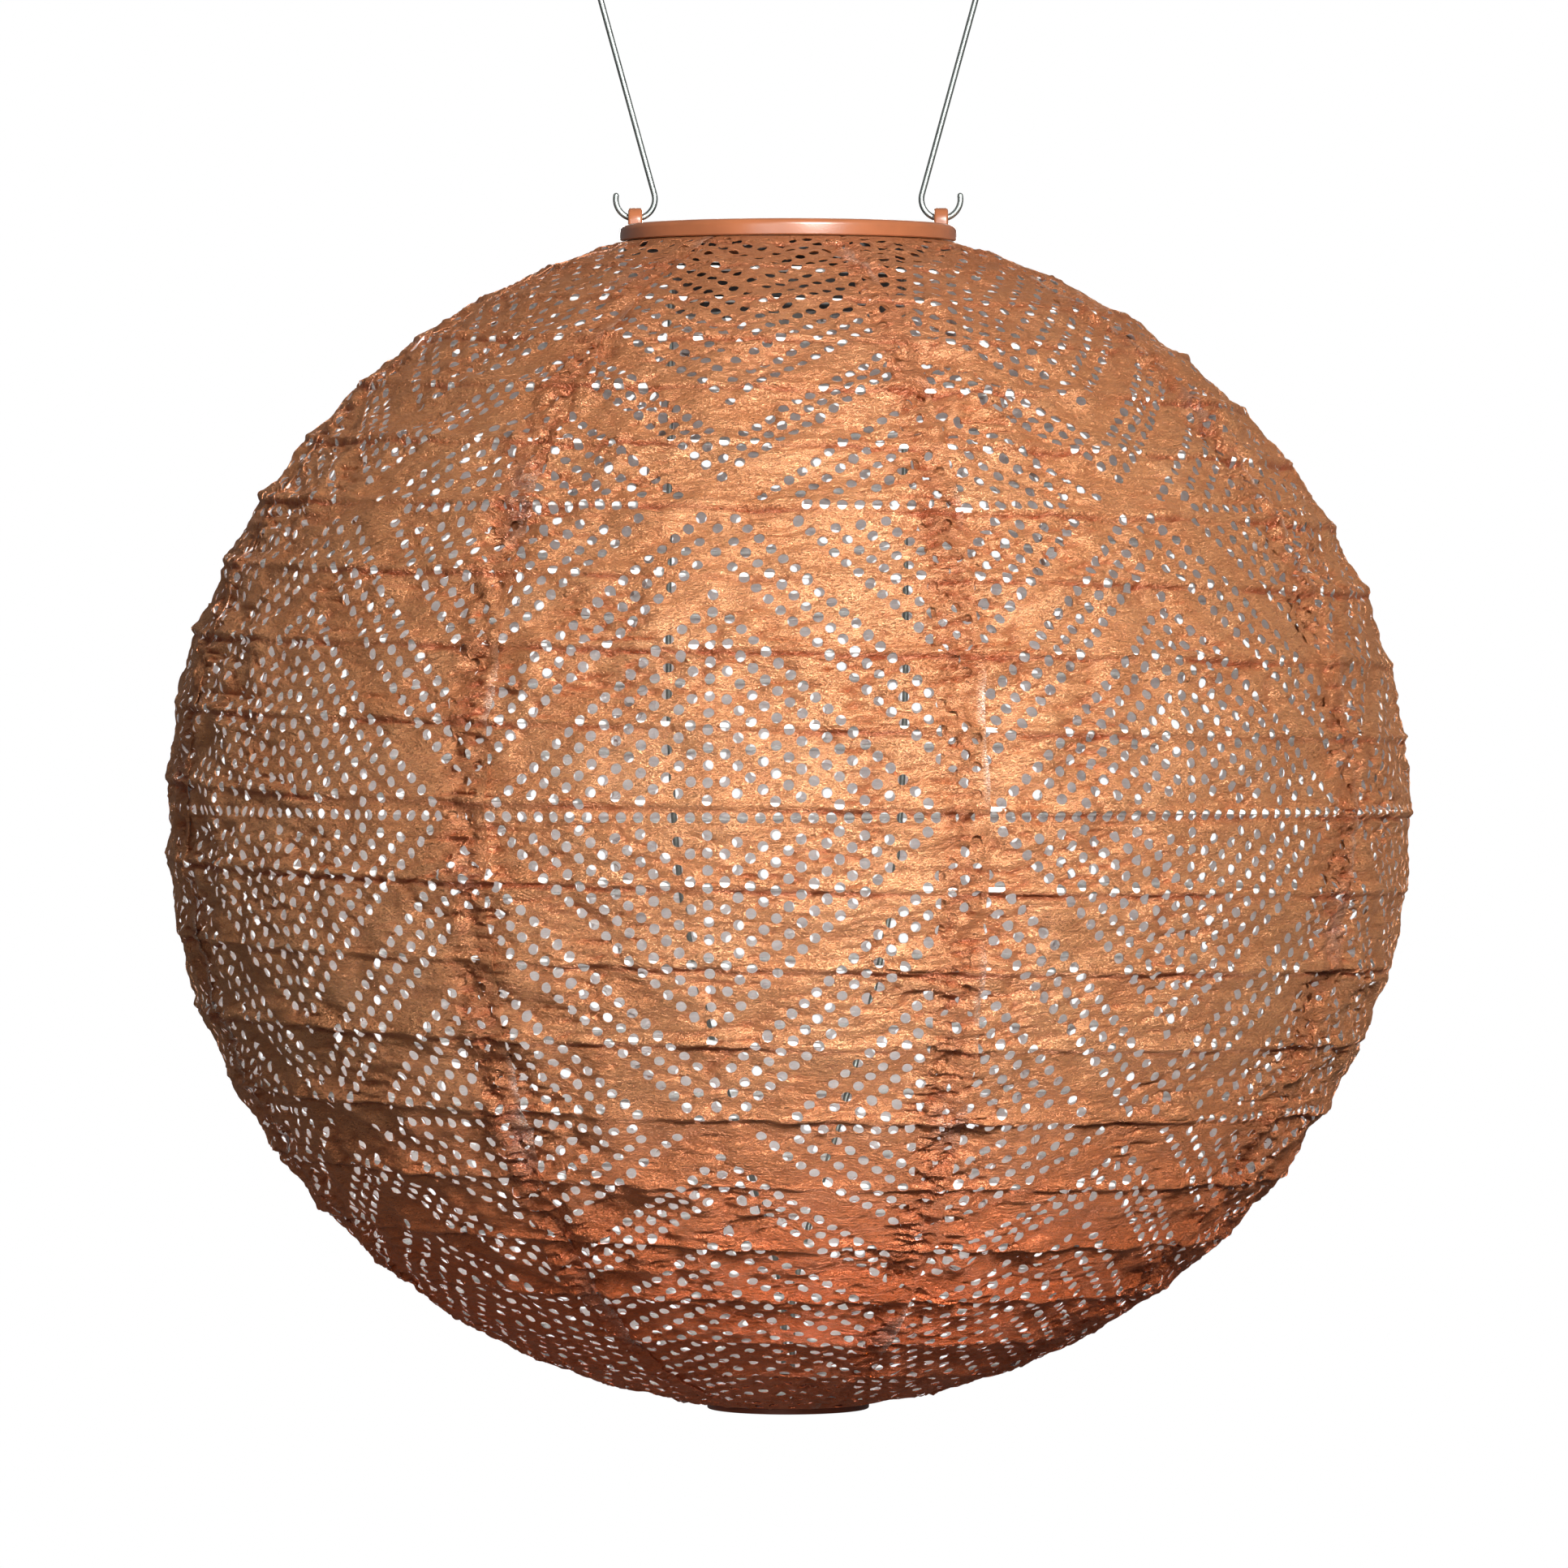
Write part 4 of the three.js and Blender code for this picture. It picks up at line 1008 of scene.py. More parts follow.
@dataclass
class Shade:
    """Eight punched gores lapped over one another on a spiral rib."""

    globe: Globe = field(default_factory=Globe)
    spiral: Spiral = field(default_factory=Spiral)
    punching: Punching = field(default_factory=Punching)
    count: int = 8
    turn: float = -7.0
    lap: float = 4.4
    thickness: float = 0.3 * MM
    layer: float = 0.75 * MM
    tuck_start: float = 2.4
    tuck_over: float = 1.9
    column: float = 2.2 * MM
    hem: float = 3.0 * MM
    rib_wire: float = 1.8 * MM
    rib_depth: float = 1.9 * MM
    rib_way: float = 26.4 * MM
    near_rib: tuple[float, ...] = (-3.4, -2.6, -1.9, -1.2, -0.6, 0.0, 0.6, 1.3, 2.1, 3.2)
    between: int = 18
    edge_steps: int = 250
    edge_margin: float = 1.4 * MM
    hole_margin: float = 1.6 * MM
    hole_clear: float = 0.45 * MM
    wrinkles: Wrinkles = field(default_factory=Wrinkles)

    def __post_init__(self) -> None:
        """Works out the surface's table once."""
        self.angles, self.ways = self.globe.arc_table()
        self.centres = self.punching.centres()
        self.ripples = {
            "sway": Ripple(11, 70 * MM, 30 * MM),
            "drape": Ripple(12, 15 * MM, 26 * MM),
            "slant": Ripple(13, 26 * MM, 12 * MM),
            "pleat": Ripple(14, 26 * MM, 4.6 * MM),
            "crepe": Ripple(15, 10 * MM, 3.6 * MM),
            "crush": Ripple(16, 6.5 * MM, 5.5 * MM),
            "where": Ripple(17, 40 * MM, 34 * MM),
            "scuff": Ripple(18, 9 * MM, 60 * MM),
        }

    def half_width(self, way: np.ndarray) -> np.ndarray:
        """Half of a gore's flat width at a way along it."""
        radius = self.globe.profile(np.interp(way, self.ways, self.angles))[0]
        return radius * math.radians(180 / self.count + self.lap / 2)

    def azimuth(self, index: int, width: np.ndarray, way: np.ndarray) -> np.ndarray:
        """Where a flat point of a gore lies round the globe, in degrees from the front."""
        radius = self.globe.profile(np.interp(way, self.ways, self.angles))[0]
        return self.turn + index * 360 / self.count + np.degrees(width / radius)

    def rib_phase(self, azimuth: np.ndarray, way: np.ndarray) -> np.ndarray:
        """How many ribs lie below a point of the skin: whole numbers on the rib."""
        return self.spiral.turns(np.interp(way, self.ways, self.angles)) + azimuth / 360

    def outline(self) -> np.ndarray:
        """The cut gore's edge, round from the base up the right side and down the left.

        Returns:
            n by 2 places, the right side first.
        """
        way = np.linspace(self.ways[0], self.ways[-1] + self.hem, self.edge_steps)
        half = self.half_width(np.minimum(way, self.ways[-1]))
        half += 0.7 * MM * np.sin(way / (6.1 * MM)) * np.sin(way / (23 * MM))
        side = np.column_stack([half, way])
        steps = np.linspace(1, -1, 22)[1:-1]
        top = np.column_stack([steps * half[-1], np.full_like(steps, way[-1])])
        bottom = np.column_stack([-steps * half[0], np.full_like(steps, way[0])])
        return np.concatenate([side, top, side[::-1] * [-1, 1], bottom])

    def filling(self, index: int) -> np.ndarray:
        """Points inside a gore: columns square to the ribs, closer together at each rib.

        Args:
            index: which gore, because the ribs cross each one at another height.

        Returns:
            n by 2 places.
        """
        near = np.array(self.near_rib) * MM
        far = np.linspace(near[-1], self.rib_way + near[0], self.between)[1:-1]
        share = np.concatenate([near, far]) / self.rib_way
        phase = (np.arange(-14, 15)[:, None] + share[None]).ravel()
        width = np.arange(-90, 91) * self.column
        phase, width = np.meshgrid(phase, width, indexing="ij")
        way = np.zeros_like(phase)
        for _ in range(4):
            azimuth = self.azimuth(index, width, way)
            angle = self.spiral.angle(phase - azimuth / 360)
            inside = np.clip(angle, self.angles[0], self.angles[-1])
            way = np.interp(inside, self.angles, self.ways)
        keep = (angle > self.angles[0] + 0.4) & (angle < self.angles[-1] - 0.4)
        keep &= np.abs(width) < self.half_width(way) - self.edge_margin
        inner = np.column_stack([width[keep], way[keep]])
        row = np.arange(-40, 41) * self.column
        hem = np.column_stack([row, np.full_like(row, self.ways[-1])])
        hem = hem[np.abs(row) < self.half_width(self.ways[-1]) - self.edge_margin]
        return np.concatenate([inner, hem])

    def flat_gore(self, index: int) -> tuple[np.ndarray, np.ndarray]:
        """The flat gore with its holes, as points and triangles that face out.

        Args:
            index: which gore.

        Returns:
            n by 2 flat points (across, along), and m by 3 point numbers.
        """
        edge = self.outline()
        radius = self.punching.diameter / 2
        centre = self.centres
        inside = np.abs(centre[:, 0]) < self.half_width(centre[:, 1]) - radius - self.hole_margin
        inside &= (centre[:, 1] > self.ways[0] + radius + 1.5 * MM) & (centre[:, 1] < self.ways[-1] - radius)
        centre = centre[inside]
        sides = self.punching.sides
        angle = np.linspace(0, 2 * np.pi, sides, endpoint=False)
        ring = centre[:, None] + radius * np.stack([np.cos(angle), np.sin(angle)], axis=-1)[None]
        fill = self.filling(index)
        cell = 8 * MM
        clear = np.ones(len(fill), dtype=bool)
        order = np.argsort(centre[:, 1])
        centre = centre[order]
        low = np.searchsorted(centre[:, 1], fill[:, 1] - cell)
        for step in range(int(np.searchsorted(centre[:, 1], fill[:, 1] + cell).max(initial=0)) + 1):
            at = low + step
            live = (at < len(centre)) & clear
            live[live] &= centre[at[live], 1] < fill[live, 1] + cell
            if not live.any():
                break
            gap = np.linalg.norm(fill[live] - centre[at[live]], axis=1)
            clear[np.flatnonzero(live)[gap < radius + self.hole_clear]] = False
        points = np.concatenate([ring.reshape(-1, 2), edge, fill[clear]])
        holes = len(centre) * sides
        loop = np.arange(holes).reshape(-1, sides)
        border = np.arange(len(edge)) + holes
        lines = np.concatenate(
            [
                np.stack([loop, np.roll(loop, -1, axis=1)], axis=-1).reshape(-1, 2),
                np.stack([border, np.roll(border, -1)], axis=-1),
            ]
        )
        corners = [Vector(point) for point in points * 1000.0]
        result = delaunay_2d_cdt(corners, [tuple(map(int, line)) for line in lines], [], 0, 1e-5)
        flat = np.array([tuple(point) for point in result[0]]) / 1000.0
        triangles = np.array(result[2])
        owner = np.where(triangles < holes, triangles // sides, -1 - triangles)
        in_hole = (owner[:, 0] == owner[:, 1]) & (owner[:, 1] == owner[:, 2])
        middle = flat[triangles].mean(axis=1)
        right = edge[: self.edge_steps]
        outside = np.abs(middle[:, 0]) > np.interp(middle[:, 1], right[:, 1], right[:, 0])
        return flat, triangles[~in_hole & ~outside]

    def lift_out(
        self, azimuth: np.ndarray, way: np.ndarray, seam: np.ndarray, pull: np.ndarray
    ) -> tuple[np.ndarray, np.ndarray]:
        """How far the sheet stands out from the ellipse, and how much painted shade darkens its folds, seams
        and top.

        The sheet bows in between ribs as 4 t (1 - t), rises over the wire and is pinched just under it. Sway,
        pleats, drapes and crepe are noises on the skin, all of them strongest near the seams.

        Args:
            azimuth: degrees from the front.
            way: the way along the surface from the equator.
            seam: 1 at a seam's middle line and 0 away from it.
            pull: 1 where the glued seam gathers the sheet beside it, and falling away from there.

        Returns:
            Metres outwards, and a painted shade from 0 to 1.
        """
        noise = {name: ripple.at(azimuth, way) for name, ripple in self.ripples.items()}
        size = self.wrinkles
        phase = self.rib_phase(azimuth, way)
        share = phase - np.floor(phase)
        above = np.where(share > 0.5, share - 1, share) * self.rib_way
        slope = np.clip(np.abs(way) / (200 * MM), 0, 1)
        here = (slope, seam, pull)
        bow = -4 * share * (1 - share) * size.bow.at(*here) * (1 + 0.8 * noise["sway"])
        rib = size.rib * bell(above, size.rib_width)
        line = bell(above + size.pinch_below + size.pinch_wander * noise["crush"], size.pinch_width)
        pinch = line * np.clip(0.75 + 1.3 * noise["where"] + 0.6 * noise["drape"], 0.1, 1.6)
        drape = noise["drape"] * size.drape.at(*here) * (0.4 + bell(above + size.hang, size.hang))
        slant = noise["slant"] * size.slant.at(*here)
        strength = np.clip(size.strength.at(*here) + 1.6 * noise["where"], 0.2, 1.9)
        pleat = ridge(noise["pleat"], size.line)
        crepe = noise["crepe"] * size.crepe * (0.6 + 0.8 * strength)
        crush = noise["crush"] * size.crush * seam
        height = bow + rib - size.pinch * pinch + drape + slant
        height += crepe + crush - size.pleat * pleat * strength
        lowest = -size.rib_clearance - size.free_depth * (1 - bell(above, size.free_beyond))
        height = np.maximum(height, lowest)
        # Painted shade: darker in the pinch under each rib, in the pleats and along the seams.
        fold_and_top_shade = 0.95 * np.clip(pinch, 0, 1) + 0.7 * pleat * np.clip(strength - 0.3, 0, 1)
        fold_and_top_shade += 0.5 * seam * ridge(noise["crush"], size.line)
        fold_and_top_shade += 0.4 * seam * np.clip(0.6 + noise["where"], 0, 1)
        calm_top = np.clip((self.ways[-1] - way) / size.calm_top, 0, 1)
        calm_base = np.clip((way - self.ways[0]) / size.calm_base, 0, 1)
        calm = calm_top * calm_base * (1 - 0.5 * slope**6)
        # Painted shade: the sheet darkens toward the globe's top.
        painted_top_shade = np.clip((way - 130 * MM) / (120 * MM), 0, 1)
        return height * calm, np.clip(fold_and_top_shade * calm + 0.4 * painted_top_shade, 0, 0.9)

    def surface(self, index: int, flat: np.ndarray) -> tuple[np.ndarray, np.ndarray, np.ndarray, np.ndarray]:
        """The sheet's outer points for a gore's flat points.

        The point is the ellipse's point at that way and azimuth, moved along its normal. The left margin
        lies a layer down, under the neighbour's right margin.

        Args:
            index: which gore.
            flat: n by 2 flat points.

        Returns:
            The outer points, the outward normals, the painted shade of the folds, seams and top, and the wear.
        """
        way = np.minimum(flat[:, 1], self.ways[-1])
        angle = np.interp(way, self.ways, self.angles)
        radius, height, out, up = self.globe.profile(angle)
        azimuth = self.azimuth(index, flat[:, 0], way)
        pitch = 360 / self.count
        first = self.turn + (index - 0.5) * pitch
        from_seam = azimuth - first
        nearest = np.minimum(np.abs(from_seam), np.abs(from_seam - pitch))
        narrow = np.clip(radius / (110 * MM), 0.2, 1.0)
        seam = bell(nearest * radius / PER_RADIAN, self.wrinkles.seam_width * narrow) * narrow
        pull = np.exp(-np.abs(from_seam) * radius / PER_RADIAN / self.wrinkles.pull_reach) * narrow * narrow
        lift, fold_and_top_shade = self.lift_out(azimuth, way, seam, pull)
        lift = lift - self.layer * eased((self.lap / 2 + self.tuck_start - from_seam) / self.tuck_over)
        over = flat[:, 1] - way
        hem = over > 0
        out, up = np.where(hem, 0.0, out), np.where(hem, 1.0, up)
        radius = radius + out * lift - over
        height = height + up * lift
        turn = np.radians(azimuth)
        points = np.column_stack([radius * np.sin(turn), -radius * np.cos(turn), height + self.globe.equator])
        normal = np.column_stack([out * np.sin(turn), -out * np.cos(turn), up])
        margin = (first + pitch + self.lap / 2 - azimuth) * radius / PER_RADIAN
        scuff, where = (self.ripples[name].at(azimuth, way) for name in ("scuff", "where"))
        rubbed = bell(margin, 0.9 * MM) * np.clip(scuff * 6 - 0.5, 0, 1)
        patch = bell(margin - 3 * MM, 9 * MM) * np.clip(where * 3 - 0.7, 0, 1)
        return points, normal, fold_and_top_shade, np.clip(rubbed + 0.5 * patch, 0, 1)

    def painted_base_shade(self, way: np.ndarray) -> np.ndarray:
        """How much painted shade deepens the coat's colour, from 0 to 1: a smooth step towards the base."""
        return 0.95 * eased((-way - 60 * MM) / (150 * MM))

    def gore(self, index: int, outside: bpy.types.Material, lining: bpy.types.Material) -> bpy.types.Object:
        """One gore: its outer skin, the same skin a thickness in, and the cut edges between them.

        Args:
            index: which gore.
            outside: the outer skin's material.
            lining: the inside's material.

        Returns:
            The finished gore.
        """
        flat, triangles = self.flat_gore(index)
        points, normal, fold_and_top_shade, worn = self.surface(index, flat)
        # Painted shade: a deeper red toward the base.
        base_shade = self.painted_base_shade(flat[:, 1])
        count = len(points)
        sides = np.concatenate([triangles[:, [0, 1]], triangles[:, [1, 2]], triangles[:, [2, 0]]])
        code = sides[:, 0] * count + sides[:, 1]
        single = ~np.isin(code, sides[:, 1] * count + sides[:, 0])
        a, b = sides[single].T
        halves = ((b, a, a + count), (b, a + count, b + count))
        rim = np.concatenate([np.stack(corners, axis=1) for corners in halves])
        faces = np.concatenate([triangles, triangles[:, ::-1] + count, rim])
        both = np.concatenate([points, points - normal * self.thickness])
        piece = put_mesh(f"copper_gore_{index + 1}", both, faces)
        mesh = piece.data
        dress(piece, outside, lining)
        slots = np.zeros(len(faces), dtype=np.int32)
        slots[len(triangles):2 * len(triangles)] = 1
        mesh.polygons.foreach_set("material_index", slots)
        layer = mesh.uv_layers.new(name=FLAT_MAP)
        corner = np.empty(len(mesh.loops), dtype=np.int32)
        mesh.loops.foreach_get("vertex_index", corner)
        spread = np.tile(flat + [index * 0.4, 0.3], (2, 1))
        layer.data.foreach_set("uv", spread[corner].astype(np.float32).ravel())
        # Keeps the painted shade and the wear on the points, for both skins.
        for name, value in ((FOLD_AND_TOP_SHADE, fold_and_top_shade), (WORN, worn), (PAINTED_BASE_SHADE, base_shade)):
            kept = mesh.attributes.new(name, "FLOAT", "POINT")
            kept.data.foreach_set("value", np.tile(value, 2).astype(np.float32))
        mesh.set_sharp_from_angle(angle=math.radians(60))
        return piece

    def cut_area(self) -> Triple:
        """A cut gore's greatest width, its length, and its area with no holes, all flat.

        Returns:
            Width, length and area.
        """
        way = np.linspace(self.ways[0], self.ways[-1], 400)
        width = 2 * self.half_width(way)
        length = self.ways[-1] - self.ways[0] + self.hem
        area = float(np.sum((width[1:] + width[:-1]) / 2 * np.diff(way)) + width[-1] * self.hem)
        return float(width.max()), float(length), area

    def rib(self, white: bpy.types.Material) -> bpy.types.Object:
        """The spiral wire, just under the sheet: the ellipse's points at the spiral's angle.

        Args:
            white: the wire's material.

        Returns:
            The finished rib.
        """
        azimuth = np.arange(-13 * 360, 14 * 360, 6.0)
        angle = self.spiral.angle(-azimuth / 360)
        low = self.globe.base_angle + self.spiral.stop_base
        high = self.globe.neck_angle - self.spiral.stop_top
        keep = (angle > low) & (angle < high)
        radius, height, out, up = self.globe.profile(angle[keep])
        turn = np.radians(azimuth[keep])
        reach = radius - out * self.rib_depth
        level = height - up * self.rib_depth + self.globe.equator
        path = np.column_stack([reach * np.sin(turn), -reach * np.cos(turn), level])
        piece = drawn_wire("spiral_rib", path, self.rib_wire, 10)
        dress(piece, white)
        return register(piece, Body.LANTERN, "white_wire", "rib_coil")

    def build(self, finishes: dict[str, bpy.types.Material]) -> None:
        """Makes the rib, then the gores that are stretched over it.

        Args:
            finishes: every finish, by its slot.
        """
        rib = self.rib(finishes["white_wire"])
        width, length, area = self.cut_area()
        log.info("a gore is cut %.4f by %.4f m, %.5f square metres", width, length, area)
        for index in range(self.count):
            piece = self.gore(index, finishes["copper_sheet"], finishes["white_lining"])
            register(piece, Body.LANTERN, "copper_sheet", f"shade_gore_{index + 1}")


# ------------------------------------------------------------------ neck, bail, stretcher, base


@dataclass
class Neck:
    """The moulded neck ring with its two ears, and the black ring that clamps the sheet from inside."""

    radius: float = 56.8 * MM
    band: float = 5.5 * MM
    edge: float = 2.0 * MM
    plate: float = 2.4 * MM
    bore: float = 44 * MM
    bore_wall: float = 2 * MM
    seat_depth: float = 6 * MM
    seat_thick: float = 2 * MM
    seat_bore: float = 39.2 * MM
    spigot: float = 52.2 * MM
    spigot_wall: float = 2.2 * MM
    spigot_depth: float = 6 * MM
    ear_x: float = 51.6 * MM
    ear_thick: float = 4.8 * MM
    ear_width: float = 9 * MM
    ear_height: float = 6 * MM
    ear_hole: float = 1.9 * MM
    ear_hole_height: float = 2.3 * MM
    boss: float = 3.4 * MM
    socket: float = 48 * MM
    socket_hole: float = 1.3 * MM
    socket_depth: float = 7 * MM
    stretcher_turn: float = 35.0
    clamp_gap: float = 0.3 * MM
    ear_foot: float = 1.2 * MM
    ear_round: float = 0.9 * MM

    @property
    def top(self) -> float:
        """The ring's flat top: an ear's height under the ears' tops."""
        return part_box("neck_ring")[1][2] - self.ear_height

    def ear(self, side: Side) -> bpy.types.Object:
        """An upright lug with a round top, its edges rounded: an outline in YZ, drawn in at both faces.

        Args:
            side: which of the two.

        Returns:
            The closed solid.
        """
        half = self.ear_width / 2
        shoulder = self.ear_height - half
        turn = np.linspace(0, np.pi, 25)
        outline = np.column_stack([half * np.cos(turn), shoulder + half * np.sin(turn)])
        outline = np.concatenate([[[half, -self.ear_foot]], outline, [[-half, -self.ear_foot]]])
        middle = np.array([0.0, shoulder / 2])
        quarter = np.linspace(0, np.pi / 2, 5)
        near, drawn = (self.ear_round * (1 - wave(quarter)) for wave in (np.sin, np.cos))
        across = np.concatenate([near[::-1], self.ear_thick - near])
        inset = np.concatenate([drawn[::-1], drawn])
        away = outline - middle
        away /= np.linalg.norm(away, axis=1, keepdims=True)
        ring = outline[None] - away[None] * inset[:, None, None]
        x = side.value * self.ear_x - self.ear_thick / 2 + across
        points = np.concatenate([np.broadcast_to(x[:, None, None], (*ring.shape[:2], 1)), ring], axis=2)
        points[..., 2] += self.top
        return capped("ear_" + side.name.lower(), points)

    def ear_bore(self, side: Side) -> bpy.types.Object:
        """The round hole through an ear along X.

        Args:
            side: which of the two.

        Returns:
            The solid to cut away.
        """
        x = side.value * self.ear_x
        path = np.array([[x - 4 * MM, 0, 0], [x, 0, 0], [x + 4 * MM, 0, 0]])
        path[:, 2] = self.top + self.ear_hole_height
        return drawn_wire("bore_" + side.name.lower(), path, self.ear_hole * 2, 32)

    def upright(
        self, name: str, x: float, y: float, low: float, high: float, radius: float
    ) -> bpy.types.Object:
        """A plain round post.

        Args:
            name: the piece's name.
            x: its axis.
            y: its axis.
            low: its lowest level.
            high: its highest level.
            radius: of the post.

        Returns:
            The closed solid.
        """
        piece = turned(name, np.array([[0, low], [radius, low], [radius, high], [0, high]]), 32)
        piece.data.transform(Matrix.Translation((x, y, 0)))
        return piece

    def ring(self) -> bpy.types.Object:
        """The ring's turned body with its ears and the stretcher's sockets.

        Returns:
            The closed solid.
        """
        bottom = self.top - self.band
        seat = self.top - self.seat_depth
        under = seat - self.seat_thick
        wall = self.bore + self.bore_wall
        channel = self.top - self.plate
        inner = self.spigot - self.spigot_wall
        foot = bottom - self.spigot_depth
        quarter = np.linspace(0, np.pi / 2, 9)
        shoulder = np.column_stack(
            [
                self.radius - self.edge * (1 - np.cos(quarter)),
                self.top - self.edge * (1 - np.sin(quarter)),
            ]
        )
        nick = 0.4 * MM
        lower = np.array([[self.spigot, bottom], [self.radius - nick, bottom], [self.radius, bottom + nick]])
        rest = rounded(
            [
                (self.bore, self.top), (self.bore, seat), (self.seat_bore, seat), (self.seat_bore, under),
                (wall, under), (wall, channel), (inner, channel), (inner, foot), (self.spigot, foot),
            ],
            0.35 * MM,
            2,
        )
        body = turned("moulded_neck_ring", np.concatenate([lower, shoulder, rest]), 192)
        steps = [(Join.ADD, self.ear(side)) for side in Side]
        for side in Side:
            x, y, _ = spun(np.array([[side.value * self.socket, 0, 0]]), self.stretcher_turn)[0]
            steps.append((Join.ADD, self.upright("boss", x, y, foot, channel + 1 * MM, self.boss)))
            socket = self.upright("socket", x, y, foot - 1 * MM, foot + self.socket_depth, self.socket_hole)
            steps.append((Join.CUT, socket))
        steps += [(Join.CUT, self.ear_bore(side)) for side in Side]
        return joined(body, steps)

    def clamp(self) -> bpy.types.Object:
        """The ring that holds the sheet's hem from inside.

        Returns:
            The closed solid.
        """
        low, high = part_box("clamp_ring")
        bore = self.spigot + self.clamp_gap
        outline = [(bore, low[2]), (high[0], low[2]), (high[0], high[2]), (bore, high[2])]
        return turned("clamp_ring_inside", rounded(outline, 0.6 * MM), 128)

    def build(self, finishes: dict[str, bpy.types.Material]) -> None:
        """Makes and dresses both rings.

        Args:
            finishes: every finish, by its slot.
        """
        ring = self.ring()
        dress(ring, finishes["brown_plastic"])
        register(ring, Body.LANTERN, "brown_plastic", "neck_ring")
        clamp = self.clamp()
        dress(clamp, finishes["black_plastic"])
        register(clamp, Body.LANTERN, "black_plastic", "clamp_ring")


@dataclass
class Bail:
    """The wire bail: two hooks, two leaning legs, an arch and an eye on its top."""

    neck: Neck
    wire: float = 2.0 * MM
    pivot: float = 2.4 * MM
    hook: float = 6.6 * MM
    tail: float = 10.0
    lean: float = 15.4
    leg_top: float = 80 * MM
    eye: float = 7 * MM
    fillet: float = 6 * MM
    eye_rise: float = 2 * MM

    def half(self) -> np.ndarray:
        """The +X half from the hook's free end up to the eye's top: arcs joined by a straight leg.

        Returns:
            The centre line's points.
        """
        lean = math.radians(self.lean)
        foot_x = self.neck.ear_x - self.hook * math.cos(lean)
        foot_z = self.pivot + self.hook + self.hook * math.sin(lean)
        head_x = foot_x + (self.leg_top - foot_z) * math.tan(lean)
        radius = head_x / math.cos(lean)
        centre = self.leg_top + radius * math.sin(lean)
        outer, inner = radius + self.fillet, self.eye + self.fillet
        offset = outer + self.eye_rise
        level = (outer**2 - inner**2 + offset**2) / (2 * offset)
        reach = math.sqrt(outer**2 - level**2)
        turn, eye_turn = math.atan2(level, reach), math.atan2(level - offset, reach)
        hook = arc(
            (self.neck.ear_x, self.pivot + self.hook), self.hook, math.radians(self.tail), -math.pi - lean, 40
        )
        leg = np.linspace(hook[-1], [head_x, 0, self.leg_top], 14)[1:-1]
        arch = arc((0, centre), radius, -lean, turn, 40)
        bend = arc((reach, centre + level), self.fillet, turn + math.pi, eye_turn + math.pi, 10)
        loop = arc((0, centre + offset), self.eye, eye_turn, math.pi / 2, 20)
        return np.concatenate([hook, leg, arch, bend[1:], loop[1:]])

    def build(self, finishes: dict[str, bpy.types.Material]) -> None:
        """Mirrors the half, draws the wire along it and dresses it.

        Args:
            finishes: every finish, by its slot.
        """
        half = self.half()
        path = np.concatenate([half, half[-2::-1] * [-1, 1, 1]])
        path[:, 2] += self.neck.top
        piece = drawn_wire("wire_bail", path, self.wire, 16)
        dress(piece, finishes["galvanised_wire"])
        register(piece, Body.BAIL, "galvanised_wire", "bail")


@dataclass
class Stretcher:
    """The bowed wire inside the globe that holds ring and base apart."""

    neck: Neck
    globe: Globe
    wire: float = 2.0 * MM
    gap: float = 1.4 * MM
    bow: tuple[tuple[float, float], ...] = (
        (1.008, 0.6), (1.016, 0.2), (0.93, -0.1), (0.71, -0.33), (0.395, -0.555), (0.138, -0.725),
    )
    foot: float = -0.825

    def build(self, finishes: dict[str, bpy.types.Material]) -> None:
        """Runs a curve through the bow's knots, a small turn at the foot, and back up the other side.

        Args:
            finishes: every finish, by its slot.
        """
        half = (self.wire + self.gap) / 2
        equator = self.globe.equator
        low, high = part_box("stretcher")

        def level(share: float) -> float:
            """The height at a share of the globe's upper or lower half."""
            return equator + share * (self.globe.upper if share > 0 else self.globe.lower)

        spigot = self.neck.top - self.neck.band - self.neck.spigot_depth
        knots = [[self.neck.socket, 0, high[2]], [self.neck.socket, 0, spigot - self.neck.spigot_depth]]
        knots += [[reach * self.neck.socket, 0, level(share)] for reach, share in self.bow]
        knots.append([half, 0, level(self.foot)])
        turn = arc((0.0, low[2] + half + self.wire / 2), half, 0, -math.pi, 12)
        leg = smooth_path(np.array(knots), 12)
        stem = np.linspace(leg[-1], turn[0], 4)[1:-1]
        down = np.concatenate([leg, stem])
        path = np.concatenate([down, turn, down[::-1] * [-1, 1, 1]])
        piece = drawn_wire("stretcher_wire", spun(path, self.neck.stretcher_turn), self.wire, 12)
        dress(piece, finishes["stretcher_steel"])
        register(piece, Body.LANTERN, "galvanised_wire", "stretcher")


